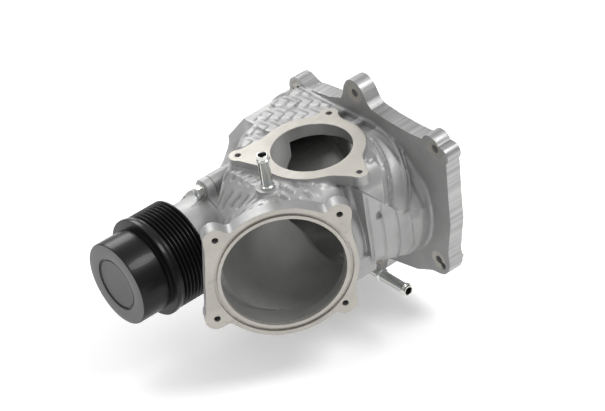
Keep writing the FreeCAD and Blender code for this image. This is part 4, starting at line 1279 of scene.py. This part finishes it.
class TubesOperator(bpy.types.Operator):
    """Builds the two hose tubes"""
    bl_idname = "drive_housing.tubes"
    bl_label = "Hose tubes"

    def execute(self, context):
        zinc = plated_metal("tube_zinc", context.scene.finish_colours.zinc, 0.16)
        low, high = box_mm("top_nipple")
        beads = [(NIPPLE_COLLAR, 1.5, 1.0), (high[2] - 4.5, 1.4, 0.75)]
        section = tube_section(low[2], high[2], NIPPLE_RADIUS, NIPPLE_BORE, BEAD_RADIUS, beads)
        origin = (NIPPLE[0], NIPPLE[1], 0)
        top = add_object("nipple_tube", turned_mesh("nipple_tube", section, 0.4, 96, origin, "Z"))
        shade(top)
        finish_piece(top, "housing", "plated_steel", [zinc], "top_nipple")
        low, high = box_mm("side_tube")
        beads = [(high[0] - SIDE_COLLAR, 1.6, 1.0), (high[0] - 3.6, 1.5, 0.75)]
        section = tube_section(low[0], high[0], SIDE_RADIUS, SIDE_BORE, BEAD_RADIUS, beads)
        origin = (0, SIDE_TUBE[1], SIDE_TUBE[2])
        side = add_object("side_hose_tube", turned_mesh("side_hose_tube", section, 0.4, 96, origin, "X"))
        shade(side)
        finish_piece(side, "housing", "plated_steel", [zinc], "side_tube")
        return {"FINISHED"}


class InnerPiecesOperator(bpy.types.Operator):
    """Gives the shaft, bearings, seals and small fixings their finishes"""
    bl_idname = "drive_housing.inner_pieces"
    bl_label = "Shaft, bearings and seals"

    def execute(self, context):
        steel = turned_metal("bearing_steel", (0.60, 0.60, 0.60), 0.18)
        shaft = turned_metal("shaft_steel", (0.47, 0.46, 0.45), 0.28)
        spring = turned_metal("spring_steel", (0.16, 0.155, 0.15), 0.34)
        rubber = moulded("seal_rubber", (0.018, 0.018, 0.018), 0.55)
        nylon = moulded("cage_nylon", (0.55, 0.50, 0.40), 0.42, 400.0)
        zinc = plated_metal("fixing_zinc", context.scene.finish_colours.zinc, 0.24)
        given = {
            "nose_o_ring": rubber, "nose_seal": rubber, "rear_seal": rubber,
            "front_cage": nylon, "rear_cage": nylon, "nose_circlip": spring, "rear_circlip": spring,
            "input_shaft": shaft, "bearing_spacer": shaft, "coupling_hub": shaft, "coupling_pins": steel,
            "pulley_key": shaft, "pulley_nut": zinc, "pulley_washer": zinc, "rear_dowels": steel,
        }
        for place in ("front", "rear"):
            for part in ("outer_ring", "inner_ring", "balls"):
                given["%s_%s" % (place, part)] = steel
        for node, material in given.items():
            give_node(node, material)
        return {"FINISHED"}


class StudioOperator(bpy.types.Operator):
    """Sets up the floor, the soft lights and the camera"""
    bl_idname = "drive_housing.studio"
    bl_label = "Studio"

    RIGHT = Vector((0.632, 0.764, -0.130))
    UP = Vector((-0.378, 0.451, 0.809))
    AIM = Vector((70.2, -83.8, 31.8)) * MM
    FLOOR_HALF = 6.0
    FLOOR_GAP = 0.0006
    PANELS = (
        # name, distance to the right, height and distance towards the camera, disc size
        ("key", 0.95, 1.35, 0.35, 0.7), ("fill", -1.2, 0.9, 0.5, 0.8), ("rim", -0.35, 1.2, -1.1, 0.6),
    )
    SURROUND = ((0.0, 0.25), (0.45, 0.30), (0.60, 0.55), (1.0, 1.0))
    SURROUND_STRENGTH = 0.7

    def execute(self, context):
        studio = context.scene.studio_settings
        self.floor(studio)
        self.camera(context, studio)
        self.lights(context, studio)
        context.scene.view_settings.view_transform = "Standard"
        return {"FINISHED"}

    def floor(self, studio):
        """A wide pale floor just under the lowest point, with a faint texture."""
        half, level = self.FLOOR_HALF, CAD_BOX[0][2] - self.FLOOR_GAP
        corners = [(-half, -half, level), (half, -half, level), (half, half, level), (-half, half, level)]
        mesh = bpy.data.meshes.new("floor")
        mesh.from_pydata(corners, [], [(0, 1, 2, 3)])
        floor = add_object("floor", mesh)
        finish = Finish("floor_paper")
        cloud = finish.noise(3.0, 3.0)
        tone = finish.mix(cloud, rgba(studio.floor, 0.985), rgba(studio.floor, 1.01))
        mesh.materials.append(finish.shader(
            Base_Color=tone, Roughness=0.9, Emission_Color=(1, 1, 1, 1), Emission_Strength=0.25,
        ))

    def camera(self, context, studio):
        """A long lens, turned a little about its own axis."""
        right = self.RIGHT.normalized()
        back = right.cross(self.UP).normalized()
        up = back.cross(right)
        data = bpy.data.cameras.new("studio_camera")
        data.sensor_width = 36.0
        data.lens = data.sensor_width * studio.distance / studio.field
        data.clip_end = 30.0
        camera = bpy.data.objects.new("studio_camera", data)
        context.scene.collection.objects.link(camera)
        turn = Matrix((right, up, back)).transposed().to_4x4()
        camera.matrix_world = Matrix.Translation(self.AIM + studio.distance * back) @ turn
        context.scene.camera = camera

    def lights(self, context, studio):
        """Three soft panels and a pale surround that is darker below the horizon."""
        right, up = self.RIGHT.normalized(), Vector((0, 0, 1))
        back = right.cross(self.UP).normalized()
        for name, side, high, near, size in self.PANELS:
            data = bpy.data.lights.new(name + "_light", "AREA")
            data.energy = getattr(studio, name)
            data.shape = "DISK"
            data.size = size
            light = bpy.data.objects.new(name + "_light", data)
            place = self.AIM + side * right + high * up + near * back
            light.location = place
            light.rotation_euler = (self.AIM - place).to_track_quat("-Z", "Y").to_euler()
            context.scene.collection.objects.link(light)
        world = bpy.data.worlds.new("surround")
        world.use_nodes = True
        sky = Nodes(world.node_tree)
        around = sky.node("ShaderNodeTexCoord", out="Generated")
        height = sky.node("ShaderNodeSeparateXYZ", {}, {"Vector": around}, out="Z")
        share = sky.node("ShaderNodeMapRange", {}, {"Value": height, "From Min": -1.0}, out="Result")
        stops = [(position, (grey, grey, grey, 1)) for position, grey in self.SURROUND]
        colour = sky.node("ShaderNodeValToRGB", {"stops": stops}, {"Fac": share}, out="Color")
        lit = {"Color": colour, "Strength": self.SURROUND_STRENGTH}
        background = sky.node("ShaderNodeBackground", {}, lit, out="Background")
        sky.node("ShaderNodeOutputWorld", {}, {"Surface": background})
        context.scene.world = world


class HousingPanel(bpy.types.Panel):
    """Lists the pieces in the sidebar."""
    bl_idname = "VIEW3D_PT_drive_housing"
    bl_label = "Drive Housing"
    bl_space_type = "VIEW_3D"
    bl_region_type = "UI"
    bl_category = "Drive Housing"

    def draw(self, context):
        for operator in OPERATORS:
            self.layout.operator(operator.bl_idname)
        for group in GROUPS:
            box = self.layout.box()
            settings = getattr(context.scene, group)
            for key in type(settings).__annotations__:
                box.prop(settings, key)


OPERATORS = (
    StudioOperator, HousingOperator, NoseOperator, BoltsOperator, PulleyOperator, TubesOperator,
    InnerPiecesOperator,
)
GROUPS = {
    "casting_sizes": CastingSizes, "drive_sizes": DriveSizes, "finish_colours": FinishColours,
    "studio_settings": StudioSettings,
}


def register():
    for made in (*GROUPS.values(), *OPERATORS, HousingPanel):
        bpy.utils.register_class(made)
    for name, group in GROUPS.items():
        setattr(bpy.types.Scene, name, PointerProperty(type=group))


def unregister():
    for name in GROUPS:
        delattr(bpy.types.Scene, name)
    for made in (HousingPanel, *reversed(OPERATORS), *GROUPS.values()):
        bpy.utils.unregister_class(made)


def main():
    """Builds every piece in order."""
    register()
    for operator in OPERATORS:
        area, name = operator.bl_idname.split(".")
        getattr(getattr(bpy.ops, area), name)()


if __name__ == "__main__":
    main()
